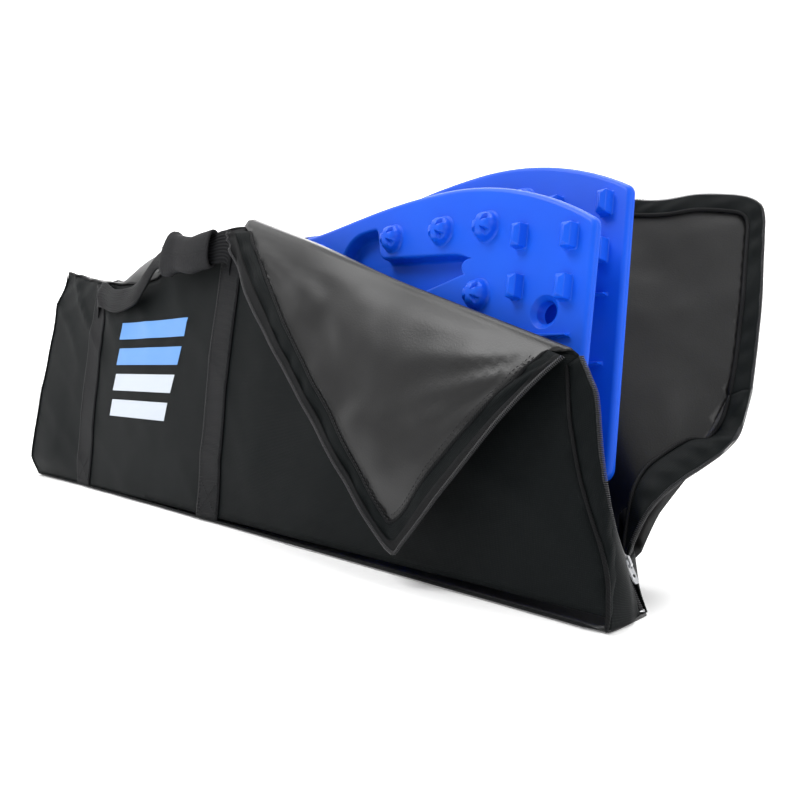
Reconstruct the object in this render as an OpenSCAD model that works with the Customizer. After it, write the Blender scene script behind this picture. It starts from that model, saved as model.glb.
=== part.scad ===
// A pair of moulded traction boards in their zip-up carry bag.
// The boards stand on edge side by side. The bag lies along X with its open end at +X,
// its front panel faces -Y, and its base rests on z = 0. Millimetres.

/* [Boards] */
// Length of each traction board
board_len = 770; // [760:5:790]
// Width of a board across its flared ends
board_w = 340; // [334:2:342]
// Width of a board at its waist
board_waist = 304; // [296:2:320]
// Width of the straight edge at each end
board_end_w = 240; // [220:4:250]
// Run of the arc from the end edge to the widest place
flare_run = 175; // [160:5:185]
// Thickness of the moulded skin
skin = 7; // [6:0.5:8]
// Depth of the grip recesses below the tread face
recess_depth = 16; // [12:1:17]
// Height of the round studs
stud_h = 13; // [9:0.5:13]
// Radius of the round studs at their base
stud_r = 13; // [10:0.5:14]
// Radius of the mounting holes
mount_r = 9.5; // [6:0.5:10]

/* [Bag] */
// Length of the bag
bag_len = 1110; // [1090:5:1150]
// Width of the base strip
base_w = 135.6; // [132:0.2:144]
// Height of the front top edge at the open end of the top
front_top = 352; // [350:1:358]
// Height of the rear top edge at the open end of the top
rear_top = 370; // [368:1:374]
// Backward lean of the front panel, in degrees
front_lean = 7.3; // [6.8:0.1:7.5]
// Backward lean of the rear panel, in degrees
rear_lean = 3; // [2.8:0.1:4.5]
// Thickness of the woven shell
shell_t = 1.8; // [1.2:0.2:2]
// Thickness of the coated lining
lining_t = 1; // [0.8:0.1:1.2]
// Width of the zipped gusset strip beyond a flap's seam
band_w = 28; // [22:1:30]
// Place along the bag where the top zipper is still closed
zip_open_x = 56; // [50:1:60]

/* [Flaps] */
// Angle by which the front corner is folded over, in degrees
front_fold = 173; // [165:1:173]
// Angle by which the rear corner falls outward, in degrees
rear_fold = 47; // [30:1:60]

/* [Webbing] */
// Width of the webbing
web_w = 48; // [40:1:50]
// Thickness of the webbing
web_t = 1.6; // [1.2:0.2:1.8]
// Place of the left webbing leg along the bag
web_left_x = -370; // [-380:1:-350]
// Place of the right webbing leg along the bag
web_right_x = 8; // [0:1:12]

/* [Hidden] */
$fn = 48;
clearance = 0.3;
half_len = bag_len / 2;
base_t = 2.4;
half_base = base_w / 2 - shell_t;
half_board = board_len / 2;
lip_run = half_board - 180;
end_gap = 3;
mouth_x = 557;
pinch_x = 478;
chain_y = -12;
tape_w = 14;
teeth_w = 4;
teeth_t = 2.4;

// Pose of each board: the middle of its near end, its lean and its pitch
board_near_x = 502;
front_board = [-21.2, 178, 8.5, 0];
rear_board = [30.9, 214, 11, 2.9];

// Lines about which the corners fold, from top to bottom, as [x, height up the panel]
front_crease = [[62, 348.5], [520, 199]];
rear_crease = [[300, 366], [515, 52]];
crease_stand = 6;

board_blue = [0.05, 0.16, 0.85];
shell_black = [0.05, 0.055, 0.06];
lining_grey = [0.22, 0.22, 0.23];
web_black = [0.07, 0.07, 0.075];
metal_silver = [0.75, 0.76, 0.78];

// ---------- outlines ----------

function xy(p) = [p[0], p[1]];
function unit(v) = v / norm(v);

// Points of the corner p = [x, y, radius] between its neighbours, as an arc
function corner_arc(before, p, after, steps = 6) =
    let (a = unit(xy(before) - xy(p)),
         b = unit(xy(after) - xy(p)),
         half = acos(a * b) / 2,
         centre = xy(p) + unit(a + b) * p[2] / sin(half),
         first = xy(p) + a * p[2] / tan(half) - centre,
         last = xy(p) + b * p[2] / tan(half) - centre,
         start = atan2(first[1], first[0]),
         turn = atan2(first[0] * last[1] - first[1] * last[0], first * last))
    p[2] == 0 ? [xy(p)] :
    [for (k = [0:steps]) centre + p[2] * [cos(start + turn * k / steps), sin(start + turn * k / steps)]];

// Outline of [x, y, radius] points with every corner rounded
function rounded(o) =
    let (n = len(o))
    [for (i = [0:n - 1]) each corner_arc(o[(i + n - 1) % n], o[i], o[(i + 1) % n])];

function mirror_v(o) = [for (i = [len(o) - 1:-1:0]) [o[i][0], -o[i][1], o[i][2]]];

// Quarter of the board's outline, from the end corner to the waist
flare_drop = (board_w - board_end_w) / 2;
flare_r = (flare_run * flare_run + flare_drop * flare_drop) / (2 * flare_drop);
flare_x = half_board - flare_run;
function flare_y(x) = board_w / 2 - flare_r + sqrt(flare_r * flare_r - pow(x - flare_x, 2));
function waist_y(x) =
    let (rise = pow(max(0, 1 - (flare_x - x) / lip_run), 0.75))
    board_waist / 2 + (board_w - board_waist) / 4 * (1 - cos(180 * rise));
board_quarter = concat(
    [for (k = [10:-1:1]) let (x = flare_x + flare_run * k / 10) [x, flare_y(x)]],
    [for (k = [0:9]) let (x = flare_x - lip_run * k / 9) [x, waist_y(x)]]);
board_outline = concat(
    board_quarter,
    [for (k = [len(board_quarter) - 1:-1:0]) [-board_quarter[k][0], board_quarter[k][1]]],
    [for (p = board_quarter) [-p[0], -p[1]]],
    [for (k = [len(board_quarter) - 1:-1:0]) [board_quarter[k][0], -board_quarter[k][1]]]);

// Grip recess of one end: a band across the board with a long lobe above and below its tongue
recess_band = half_board - 316;
recess_upper = [
    [recess_band, 141, 34],
    [recess_band + 53, 145, 6],
    [recess_band + 62, 113, 12],
    [recess_band + 166, 107, 60],
    [recess_band + 218, 94, 8],
    [recess_band + 58, 58, 14]];
recess_outline = rounded(concat(recess_upper, mirror_v(recess_upper)));
slot_w = 34;
slot_len = 116;
slot_x = recess_band + 27;

// ---------- traction boards ----------

// Round stud with four triangular pits that leave a raised cross
module stud() {
    difference() {
        rotate_extrude($fn = 32)
            polygon([[0, -1], [stud_r, -1], [stud_r, 0], [stud_r - 0.8, stud_h * 0.5],
                     [stud_r - 3.2, stud_h * 0.84], [stud_r - 7.5, stud_h], [0, stud_h]]);
        for (k = [0:3])
            rotate([0, 0, 45 + 90 * k])
                translate([stud_r * 0.36, 0, stud_h * 0.66])
                    rotate([0, 12, 0])
                        linear_extrude(stud_h)
                            polygon([[0, 0], [stud_r * 0.75, -4.6], [stud_r * 0.75, 4.6]]);
    }
}

// Prism lug with a roof-shaped top, long across the board
module lug() {
    translate([0, 10, 0])
        rotate([90, 0, 0])
            linear_extrude(20)
                polygon([[-5.5, -1], [5.5, -1], [4.6, 9.5], [0, 12], [-4.6, 9.5]]);
}

// Long rib on the tread face, tapered to a point towards the board's end
module tongue_rib() {
    translate([0, 0, -1])
        linear_extrude(7)
            polygon([[half_board - 200, -4.5], [half_board - 200, 4.5], [half_board - 15, 0.9],
                     [half_board - 15, -0.9]]);
}

module mirrored_ends() {
    for (s = [0, 1])
        mirror([s, 0, 0])
            children();
}

module mirrored_sides() {
    for (s = [0, 1])
        mirror([0, s, 0])
            children();
}

// Centres of the studs and lugs in one quarter of the board
end_studs = [[half_board - 236, 132], [half_board - 168, 131], [half_board - 113, 128],
             [half_board - 116, 68]];
mid_studs = [[28, 126], [38, 66]];
end_lugs = [[half_board - 73, 114], [half_board - 22, 108], [half_board - 72, 71],
            [half_board - 23, 67]];
mount_at = [half_board - 42, 49];
back_rib_len = 2 * recess_band - 20;

// One board, flat: X along it, Y across it, tread face up at z = 0
module board_solid() {
    color(board_blue)
    difference() {
        union() {
            translate([0, 0, -skin])
                linear_extrude(skin)
                    difference() {
                        polygon(board_outline);
                        mirrored_ends() polygon(recess_outline);
                    }
            // recess trays
            mirrored_ends()
                translate([0, 0, -recess_depth - 5])
                    difference() {
                        linear_extrude(recess_depth + 5 - 0.01)
                            offset(delta = 5) polygon(recess_outline);
                        translate([0, 0, 5])
                            linear_extrude(recess_depth + 5)
                                polygon(recess_outline);
                    }
            // skirt under the long edges
            for (side = [-1, 1])
                translate([-flare_x, side > 0 ? 0 : -board_w / 2, -16])
                    intersection() {
                        cube([2 * flare_x, board_w / 2, 16 - 0.01]);
                        translate([flare_x, side > 0 ? 0 : board_w / 2, 0])
                            linear_extrude(16)
                                difference() {
                                    polygon(board_outline);
                                    offset(delta = -5) polygon(board_outline);
                                }
                    }
            mirrored_ends() mirrored_sides() {
                for (p = end_studs) translate(p) stud();
                for (p = mid_studs) translate(p) stud();
                for (p = end_lugs) translate(p) lug();
                translate([0, 29, 0]) tongue_rib();
                translate([mount_at[0], mount_at[1], -skin - 7]) cylinder(r = mount_r + 5.5, h = 8);
            }
            for (x = [-32, 32]) translate([x, 0, 0]) lug();
            // stiffening ribs under the waist
            for (y = [-96, -32, 32, 96])
                translate([-back_rib_len / 2, y - 2.5, -16]) cube([back_rib_len, 5, 10]);
        }
        mirrored_ends() {
            mirrored_sides()
                translate([mount_at[0], mount_at[1], 0]) {
                    translate([0, 0, -30]) cylinder(r = mount_r, h = 60);
                    translate([0, 0, -3]) cylinder(r1 = mount_r, r2 = mount_r + 4, h = 4);
                }
            translate([slot_x - slot_w / 2, -slot_len / 2 + slot_w / 2, -40]) {
                cube([slot_w, slot_len - slot_w, 80]);
                for (y = [0, slot_len - slot_w])
                    translate([slot_w / 2, y, 0]) cylinder(r = slot_w / 2, h = 80);
            }
        }
    }
}

// Stands a flat board on edge in the bag; place = [y, z, lean, pitch] of its near end's middle
module stood(place) {
    translate([board_near_x, place[0], place[1]])
        rotate([0, -place[3], 0])
            rotate([90 - place[2], 0, 0])
                translate([-half_board, 0, 0])
                    children();
}

module board_front() { stood(front_board) board_solid(); }
module board_rear() { stood(rear_board) board_solid(); }

// ---------- bag shell ----------

// A sheet drawn in the front panel's plane: x along the bag, y up the panel, z outward
module on_front() {
    translate([0, -half_base, 0]) rotate([90 - front_lean, 0, 0]) children();
}

// The same for the rear panel, with z pointing into the bag
module on_rear() {
    translate([0, half_base, 0]) rotate([90 - rear_lean, 0, 0]) children();
}

function up_front(z) = z / cos(front_lean);
function up_rear(z) = z / cos(rear_lean);

// The closed top from the opening to the closed end, where it slumps beyond the boards:
// [x, height of its front edge, height of its rear edge]
top_line = [
    [zip_open_x, front_top, rear_top], [-93, front_top - 4, rear_top - 3],
    [-230, front_top - 34, rear_top - 6], [-330, front_top - 46, rear_top - 18],
    [-half_len, front_top - 6, rear_top - 40]];

// Edge of each panel, without its folded corner
front_outline = [
    [-half_len, 3], [mouth_x, 3], [mouth_x - 6, 50], [mouth_x - 30, 130],
    front_crease[1], front_crease[0], for (t = top_line) [t[0], up_front(t[1])]];
rear_outline = [
    [-half_len, 3], [pinch_x, 3], rear_crease[1] - [14, 26],
    rear_crease[1], rear_crease[0], for (t = top_line) [t[0], up_rear(t[2])]];

// The base with its rear corner pinched in at the open end, side gap narrower and end gap shorter
module base_shape(side, end) {
    half = base_w / 2 - side;
    polygon([
        [-half_len + end, -half], [mouth_x - end, -half], [mouth_x - end, chain_y + 7],
        [pinch_x - end, half], [-half_len + end, half]]);
}

module base_strip() {
    color(shell_black) linear_extrude(base_t - lining_t) base_shape(0, 0);
}

module base_lining() {
    color(lining_grey)
    translate([0, 0, base_t - lining_t]) linear_extrude(lining_t) base_shape(shell_t + 1, 3);
}

module front_panel() {
    color(shell_black)
    on_front() linear_extrude(shell_t) polygon(front_outline);
}

module front_lining() {
    color(lining_grey)
    on_front() translate([0, 0, -lining_t]) linear_extrude(lining_t) polygon(front_outline);
}

module rear_panel() {
    color(shell_black)
    on_rear() translate([0, 0, -shell_t]) linear_extrude(shell_t) polygon(rear_outline);
}

module rear_lining() {
    color(lining_grey)
    on_rear() linear_extrude(lining_t) polygon(rear_outline);
}

// Places of the closed top
function y_front(z) = -half_base + z * tan(front_lean);
function y_rear(z) = half_base + z * tan(rear_lean);
top_w = y_rear(rear_top) - y_front(front_top);
top_clear = 0.4;

// Point of the closed top at station t, a distance y from its front edge and z above it
function top_point(t, y, z) = [
    t[0],
    y_front(t[1]) + y * (y_rear(t[2]) - y_front(t[1])) / top_w,
    t[1] + y / top_w * (t[2] - t[1]) + top_clear + z];

// The stations with five more between each two, so that strips beside each other twist alike
function divided(line) =
    [for (i = [0:len(line) - 2], k = [0:5]) line[i] + (line[i + 1] - line[i]) * k / 6,
     line[len(line) - 1]];

// A strip of the closed top between the distances from and to, its underside raised by low.
// Top and underside are split along the same diagonals, so its thickness is even.
module top_strip(from, to, low, high, line = top_line) {
    stations = divided(line);
    last = len(stations) - 1;
    polyhedron(
        [for (t = stations)
            each [top_point(t, from, low), top_point(t, to, low),
                  top_point(t, to, high), top_point(t, from, high)]],
        concat(
            [[2, 1, 0], [3, 2, 0]],
            [for (i = [0:last - 1], k = [0:3])
                let (a = 4 * i + k, b = 4 * i + (k + 1) % 4)
                each k == 2 ? [[a, b, b + 4], [a, b + 4, a + 4]] : [[a, b, a + 4], [b, b + 4, a + 4]]],
            [[4 * last, 4 * last + 1, 4 * last + 2], [4 * last, 4 * last + 2, 4 * last + 3]]));
}

// The same stations, ending short of the opening and of the closed end
function clipped(near, far) =
    let (n = len(top_line) - 1,
         first = top_line[0] + (top_line[1] - top_line[0]) * near / (top_line[0][0] - top_line[1][0]),
         last = top_line[n] + (top_line[n - 1] - top_line[n]) * far / (top_line[n - 1][0] - top_line[n][0]))
    [first, for (i = [1:n - 1]) top_line[i], last];

module top_gusset_front() {
    color(shell_black) top_strip(-1, top_w / 2 - tape_w, 0, shell_t);
}

module top_gusset_rear() {
    color(shell_black) top_strip(top_w / 2 + tape_w, top_w + 1, 0, shell_t);
}

module top_tape() {
    tape_t = 1;
    color(web_black) {
        top_strip(top_w / 2 - tape_w + clearance / 2, top_w / 2 - 0.2, 0, tape_t);
        top_strip(top_w / 2 + 0.2, top_w / 2 + tape_w - clearance / 2, 0, tape_t);
    }
}

module top_zip_chain() {
    stand = 1.3;
    color(shell_black)
        top_strip(top_w / 2 - teeth_w / 2, top_w / 2 + teeth_w / 2, stand, stand + teeth_t,
                  clipped(5, 20));
}

module top_zip_stop() {
    color(metal_silver)
    translate(top_point(top_line[0], top_w / 2, 1.6) - [4.5, 3, 0]) cube([4, 6, 3]);
}

// Closed end: shell outside, lining inside
end_top = top_line[len(top_line) - 1];
end_outline = [
    [y_front(4), 4], [y_rear(4), 4], [y_rear(end_top[2] - 2), end_top[2] - 2],
    [y_front(end_top[1] - 2), end_top[1] - 2]];

module end_sheet(from, thick) {
    translate([-half_len + from, 0, 0])
        rotate([90, 0, 90])
            linear_extrude(thick)
                offset(delta = -2) polygon(end_outline);
}

module end_gusset() { color(shell_black) end_sheet(0, shell_t); }
module end_gusset_lining() { color(lining_grey) end_sheet(shell_t, lining_t); }

// Low closed corner at the open end, up to the slider, leaning back from its foot
corner_top = 33;
corner_tilt = 28;
corner_x = mouth_x - 9;
corner_foot = 3;
module leaned() {
    translate([corner_x, 0, corner_foot])
        rotate([0, -corner_tilt, 0])
            translate([-corner_x, 0, -corner_foot])
                children();
}

corner_outline_front = [[-half_base + 3, 3], [chain_y - 7, 3], [chain_y - 7, corner_top],
                        [-half_base + 7, corner_top + 10]];
module corner_gusset_front() {
    color(shell_black)
    leaned()
        translate([corner_x, 0, 0])
            rotate([90, 0, 90])
                linear_extrude(shell_t)
                    polygon(corner_outline_front);
}

// Slants back from the chain to the pinched corner of the base, rising to the rear fold
module corner_gusset_rear() {
    start = [mouth_x - 8, chain_y + 7];
    end = [pinch_x + 2, half_base - 4];
    run = norm(end - start);
    color(shell_black)
    translate([start[0], start[1], 0])
        rotate([90, 0, atan2(end[1] - start[1], end[0] - start[0])])
            linear_extrude(shell_t)
                polygon([[0, 3], [run, 3], [run, corner_top + 30], [0.35 * run, corner_top + 8],
                         [0, corner_top + 4]]);
}

module corner_zip_chain() {
    color(shell_black)
    leaned() {
        translate([corner_x, chain_y - 6.7, 3]) cube([1, 13.4, corner_top - 3]);
        translate([corner_x + 1, chain_y - teeth_w / 2, 5]) cube([teeth_t, teeth_w, corner_top - 5]);
    }
}

module corner_zip_stop() {
    color(metal_silver)
    leaned()
        translate([corner_x + 1, chain_y - 3, 2.6]) cube([3, 6, 2]);
}

// ---------- folded corners ----------

function line_angle(c) = atan2(c[1][1] - c[0][1], c[1][0] - c[0][0]);

// A point of a panel as [along the crease, away from it towards the corner]
function from_crease(c, p) =
    let (a = line_angle(c), d = p - c[0])
    [d[0] * cos(a) + d[1] * sin(a), -d[0] * sin(a) + d[1] * cos(a)];

// Seam of each corner beyond its crease, from its upper end round the corner to its lower end
front_corner = [481, 415];
rear_corner = [556, 366];
rear_side = [552, 150];
front_seam = [[22, 4], from_crease(front_crease, front_corner), [452, 3]];
rear_seam = [[10, 3], from_crease(rear_crease, rear_corner), from_crease(rear_crease, rear_side),
             [372, 4]];

// The line from a to b moved outward by w, with the corner side on its left
function shifted(a, b, w) = let (d = unit(b - a), n = [-d[1], d[0]]) [a + n * w, b + n * w];
function meet(p, q) =
    let (r = p[1] - p[0], s = q[1] - q[0], d = q[0] - p[0],
         t = (d[0] * s[1] - d[1] * s[0]) / (r[0] * s[1] - r[1] * s[0]))
    p[0] + r * t;

// Line at a distance w outside a seam, with its upper end run on a little past the crease
run_on = 0.6;
function band_line(seam, w) =
    let (last = len(seam) - 1,
         sides = [for (i = [0:last - 1]) shifted(seam[i], seam[i + 1], w)])
    [sides[0][0] - run_on * w * unit(seam[1] - seam[0]),
     for (i = [1:last - 1]) meet(sides[i - 1], sides[i]),
     sides[last - 1][1]];

module on_front_flap() {
    on_front()
        translate([front_crease[0][0], front_crease[0][1], crease_stand])
            rotate([0, 0, line_angle(front_crease)])
                rotate([front_fold, 0, 0])
                    children();
}

module on_rear_flap() {
    on_rear()
        translate([rear_crease[0][0], rear_crease[0][1], -crease_stand])
            rotate([0, 0, line_angle(rear_crease)])
                rotate([-rear_fold, 0, 0])
                    children();
}

coil_w = 3;
seam_gap = 0.05;

// Band between two lines round a corner, drawn flat
module band(inner, outer) {
    polygon([each inner, for (i = [len(outer) - 1:-1:0]) outer[i]]);
}

module front_flap_panel() {
    color(shell_black)
    on_front_flap() linear_extrude(shell_t) polygon(front_seam);
}

module front_flap_lining() {
    color(lining_grey)
    on_front_flap() translate([0, 0, -lining_t]) linear_extrude(lining_t) polygon(front_seam);
}

module front_flap_gusset() {
    color(shell_black)
    on_front_flap()
        linear_extrude(shell_t)
            band(band_line(front_seam, seam_gap), band_line(front_seam, band_w - coil_w));
}

module front_flap_teeth() {
    color(web_black)
    on_front_flap()
        linear_extrude(teeth_t)
            band(band_line(front_seam, band_w - coil_w + seam_gap), band_line(front_seam, band_w));
}

module rear_flap_panel() {
    color(shell_black)
    on_rear_flap() translate([0, 0, -shell_t]) linear_extrude(shell_t) polygon(rear_seam);
}

module rear_flap_lining() {
    color(lining_grey)
    on_rear_flap() linear_extrude(lining_t) polygon(rear_seam);
}

module rear_flap_gusset() {
    color(shell_black)
    on_rear_flap()
        translate([0, 0, -shell_t])
            linear_extrude(shell_t)
                band(band_line(rear_seam, seam_gap), band_line(rear_seam, band_w - coil_w));
}

module rear_flap_teeth() {
    color(web_black)
    on_rear_flap()
        translate([0, 0, -shell_t])
            linear_extrude(teeth_t)
                band(band_line(rear_seam, band_w - coil_w + seam_gap), band_line(rear_seam, band_w));
}

// ---------- webbing, handles and print ----------

module leg_front(x, top) {
    color(web_black)
    on_front() translate([x - web_w / 2, 4, shell_t]) cube([web_w, top - 4, web_t]);
}

module leg_rear(x, top) {
    color(web_black)
    on_rear() translate([x - web_w / 2, 4, -shell_t - web_t]) cube([web_w, top - 4, web_t]);
}

foot_left = [web_left_x, front_top - 41];
foot_right = [web_right_x, front_top - 3];
rear_foot_left = [web_left_x, rear_top - 22];
rear_foot_right = [web_right_x, rear_top - 3];
module webbing_front_left() { leg_front(foot_left[0], foot_left[1]); }
module webbing_front_right() { leg_front(foot_right[0], foot_right[1]); }
module webbing_rear_left() { leg_rear(rear_foot_left[0], rear_foot_left[1]); }
module webbing_rear_right() { leg_rear(rear_foot_right[0], rear_foot_right[1]); }

// Carrying handle hanging flat beside a panel from the tops of two legs: x along the bag,
// y up the panel, z away from it
strap_w = 40;
strap_t = 2.2;
strap_stand = 14;
handle_mid = (web_left_x + web_right_x) / 2;
grip_len = 120;
grip_drop = 12;
module handle_loop(left, right) {
    bar_low = (left[1] + right[1]) / 2 - grip_drop - strap_w;
    translate([0, 0, strap_stand])
        linear_extrude(strap_t)
            polygon([
                [left[0] - strap_w / 2, left[1] + 3], [left[0] - strap_w / 2, left[1] - 14],
                [handle_mid - grip_len / 2 - 30, bar_low], [handle_mid + grip_len / 2 + 30, bar_low],
                [right[0] + strap_w / 2, right[1] - 26], [right[0] + strap_w / 2, right[1] + 3],
                [right[0] - strap_w / 2, right[1] + 3], [handle_mid + grip_len / 2 + 10, bar_low + strap_w],
                [handle_mid - grip_len / 2 - 10, bar_low + strap_w], [left[0] + strap_w / 2, left[1] + 3]]);
    for (foot = [left, right])
        translate([foot[0] - strap_w / 2, foot[1] - 10, shell_t + web_t + 0.5])
            cube([strap_w, 13, strap_stand - shell_t - web_t]);
}

module handle_front() {
    color(web_black) on_front() handle_loop(foot_left, foot_right);
}

module handle_rear() {
    color(web_black) on_rear() mirror([0, 0, 1]) handle_loop(rear_foot_left, rear_foot_right);
}

// Padded sleeve closed round the front handle's grip
wrap_t = 2.6;
module grip_wrap() {
    bar_low = (foot_left[1] + foot_right[1]) / 2 - grip_drop - strap_w;
    slot = [strap_w + 2 * clearance, strap_t + 2 * clearance];
    color(lining_grey)
    on_front()
        translate([handle_mid - grip_len / 2, bar_low - clearance, strap_stand - clearance])
            rotate([90, 0, 90])
                linear_extrude(grip_len)
                    difference() {
                        polygon(rounded([[-wrap_t, -wrap_t, 2], [slot[0] + wrap_t, -wrap_t, 2],
                                         [slot[0] + wrap_t, slot[1] + wrap_t, 2],
                                         [-wrap_t, slot[1] + wrap_t, 2]]));
                        square(slot);
                    }
}

// Plain bars printed on the front panel, between the webbing legs
print_x = -292;
print_w = 205;
module printed_emblem() {
    color("white")
    on_front()
        translate([print_x, 110, shell_t])
            for (row = [0:3])
                linear_extrude(0.4)
                    polygon(rounded([[row * 4, row * 37, 3], [print_w - 30 + row * 10, row * 37, 3],
                                     [print_w - 24 + row * 10, row * 37 + 24, 3],
                                     [row * 4 + 6, row * 37 + 24, 3]]));
}

// ---------- zipper slider ----------

slider_h = 11;
slider_w = 9;
slider_gap = 4.2;
slider_z = corner_top + 0.4;
slider_x = corner_x + 0.5 + teeth_t / 2;

// Two plates joined by a wedge at the upper end, open below where the chain runs in
module slider_body() {
    color(metal_silver)
    leaned()
        translate([slider_x, chain_y, slider_z]) {
            for (side = [-1, 1])
                translate([side > 0 ? slider_gap / 2 : -slider_gap / 2 - 1.2, -slider_w / 2, 0])
                    cube([1.2, slider_w, slider_h]);
            translate([-slider_gap / 2, -1.5, slider_h - 4]) cube([slider_gap, 3, 4]);
        }
}

// Arch on the outer plate that carries the pull tab
bridge_x = slider_x + slider_gap / 2 + 1.2;
bridge_z = slider_z + slider_h / 2;
module slider_bridge() {
    color(metal_silver)
    leaned()
        translate([bridge_x, chain_y + 1.25, bridge_z])
            rotate([90, 0, 0])
                linear_extrude(2.5)
                    difference() {
                        polygon(rounded([[0, -5, 0], [4.5, -4, 1.5], [4.5, 4, 1.5], [0, 5, 0]]));
                        polygon(rounded([[-0.5, -3, 0], [2.9, -2.6, 1], [2.9, 2.6, 1], [-0.5, 3, 0]]));
                    }
}

// Pull tab, hung from the bridge by the bar across its upper end
tab_len = 16;
tab_t = 1.2;
tab_hang = 1.7;
module pull_tab() {
    color(metal_silver)
    leaned()
        translate([bridge_x + tab_hang - tab_t / 2, chain_y, bridge_z - 1.2])
            rotate([90, 0, 90])
                linear_extrude(tab_t)
                    difference() {
                        polygon(rounded([[-3.6, 3, 1.5], [3.6, 3, 1.5], [3, -tab_len, 2],
                                         [-3, -tab_len, 2]]));
                        polygon(rounded([[-2, 1.4, 0.6], [2, 1.4, 0.6], [2, -4.6, 0.6],
                                         [-2, -4.6, 0.6]]));
                        translate([0, -tab_len + 6]) circle(r = 1.4, $fn = 20);
                    }
}

board_front();
board_rear();
base_strip();
base_lining();
end_gusset();
end_gusset_lining();
front_panel();
front_lining();
rear_panel();
rear_lining();
top_gusset_front();
top_gusset_rear();
top_tape();
top_zip_chain();
top_zip_stop();
corner_gusset_front();
corner_gusset_rear();
corner_zip_chain();
corner_zip_stop();
front_flap_panel();
front_flap_lining();
front_flap_gusset();
front_flap_teeth();
rear_flap_panel();
rear_flap_lining();
rear_flap_gusset();
rear_flap_teeth();
webbing_front_left();
webbing_front_right();
webbing_rear_left();
webbing_rear_right();
handle_front();
handle_rear();
grip_wrap();
printed_emblem();
slider_body();
slider_bridge();
pull_tab();
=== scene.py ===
"""Two moulded traction boards standing on edge in an open carry bag.

The bag lies along X with its open end at +X and its front panel towards -Y. Shapes are worked out in
millimetres and turned into metres when a mesh is made.
"""

import math
import random

import bpy
from mathutils import Matrix, Vector, geometry, noise


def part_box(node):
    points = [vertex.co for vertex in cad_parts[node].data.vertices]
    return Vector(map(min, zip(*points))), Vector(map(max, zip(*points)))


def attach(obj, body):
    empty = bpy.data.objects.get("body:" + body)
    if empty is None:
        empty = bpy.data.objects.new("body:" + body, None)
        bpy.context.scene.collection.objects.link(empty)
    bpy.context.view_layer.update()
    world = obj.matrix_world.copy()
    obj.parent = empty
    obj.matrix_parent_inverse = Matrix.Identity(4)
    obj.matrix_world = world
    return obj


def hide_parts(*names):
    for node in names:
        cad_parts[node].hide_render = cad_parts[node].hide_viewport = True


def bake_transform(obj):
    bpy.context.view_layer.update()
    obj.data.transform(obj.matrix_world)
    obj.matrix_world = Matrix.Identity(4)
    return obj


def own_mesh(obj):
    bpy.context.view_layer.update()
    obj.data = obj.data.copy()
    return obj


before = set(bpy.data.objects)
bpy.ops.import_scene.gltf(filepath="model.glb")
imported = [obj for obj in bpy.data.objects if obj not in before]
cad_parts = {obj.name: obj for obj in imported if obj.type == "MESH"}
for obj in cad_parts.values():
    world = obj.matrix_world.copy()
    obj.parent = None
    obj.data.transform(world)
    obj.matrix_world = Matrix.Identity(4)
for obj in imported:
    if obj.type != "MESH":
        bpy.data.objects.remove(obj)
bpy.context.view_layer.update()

MM = 0.001
CLOTH_UV = "cloth_uv"
random.seed(4)

# ---------- sizes of the bag, from the frame ----------

base_low, base_high = (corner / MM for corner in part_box("base_strip"))
END_X = base_low.x
MOUTH_X = base_high.x
HALF_BASE = 66.0
# how far the front panel leans in and the rear panel leans out
FRONT_LEAN = math.radians(7.3)
REAR_LEAN = math.radians(3.0)
# thickness of the CAD shell, whose outside the cloth follows, and of the cloths themselves
SHELL_T = 1.8
CLOTH_T = 1.6
BAND_T = 1.3
TAPE_T = 0.9
# across the bag to the low end of its zipper, along it to where the base's rear edge and the
# closed top stop
CHAIN_Y = -12.0
PINCH_X = 478.0
ZIP_OPEN_X = 56.0

# the lines about which the two corners fold, as (x along the bag, distance up the panel)
FRONT_CREASE = (Vector((62, 342)), Vector((520, 189)))
REAR_CREASE = (Vector((300, 366)), Vector((515, 52)))
REAR_FOLD = math.radians(47)

# height of the front and rear top edges along the bag, as (x, z)
FRONT_TOP = [(-555, 346), (-500, 336), (-430, 322), (-360, 311), (-290, 304), (-230, 300),
             (-190, 304), (-150, 322), (-93, 343), (0, 349), (62, 344)]
REAR_TOP = [(-555, 330), (-430, 334), (-330, 340), (-230, 348), (-93, 353), (62, 347), (190, 347),
            (290, 362)]


# ---------- small mathematics ----------

def smooth(x, low=0.0, high=1.0):
    """0 below low, 1 above high and an even curve between."""
    t = min(1.0, max(0.0, (x - low) / (high - low)))
    return t * t * (3 - 2 * t)


def along(table, x):
    """Value at x of a smooth line through (x, value) pairs."""
    if x <= table[0][0]:
        return table[0][1]
    for (x0, y0), (x1, y1) in zip(table, table[1:]):
        if x <= x1:
            return y0 + (y1 - y0) * smooth(x, x0, x1)
    return table[-1][1]


def curve_through(points, count):
    """count points evenly spaced along a smooth curve through the given ones."""
    pts = [Vector(p) for p in points]
    ends = [pts[0] * 2 - pts[1]] + pts + [pts[-1] * 2 - pts[-2]]
    fine = []
    for k in range(1, len(ends) - 2):
        a, b, c, d = ends[k - 1:k + 3]
        for step in range(12):
            t = step / 12
            fine.append(0.5 * (2 * b + (c - a) * t + (2 * a - 5 * b + 4 * c - d) * t * t
                               + (3 * b - a - 3 * c + d) * t ** 3))
    fine.append(pts[-1])
    return resampled(fine, count)


def resampled(points, count):
    """count points evenly spaced along a polyline."""
    pts = [Vector(p) for p in points]
    total = [0.0]
    for a, b in zip(pts, pts[1:]):
        total.append(total[-1] + (b - a).length)
    made = []
    k = 0
    for i in range(count):
        want = total[-1] * i / (count - 1)
        while k < len(pts) - 2 and total[k + 1] < want:
            k += 1
        span = max(1e-9, total[k + 1] - total[k])
        made.append(pts[k].lerp(pts[k + 1], min(1.0, (want - total[k]) / span)))
    return made


def line_length(points):
    return sum((b - a).length for a, b in zip(points, points[1:]))


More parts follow.
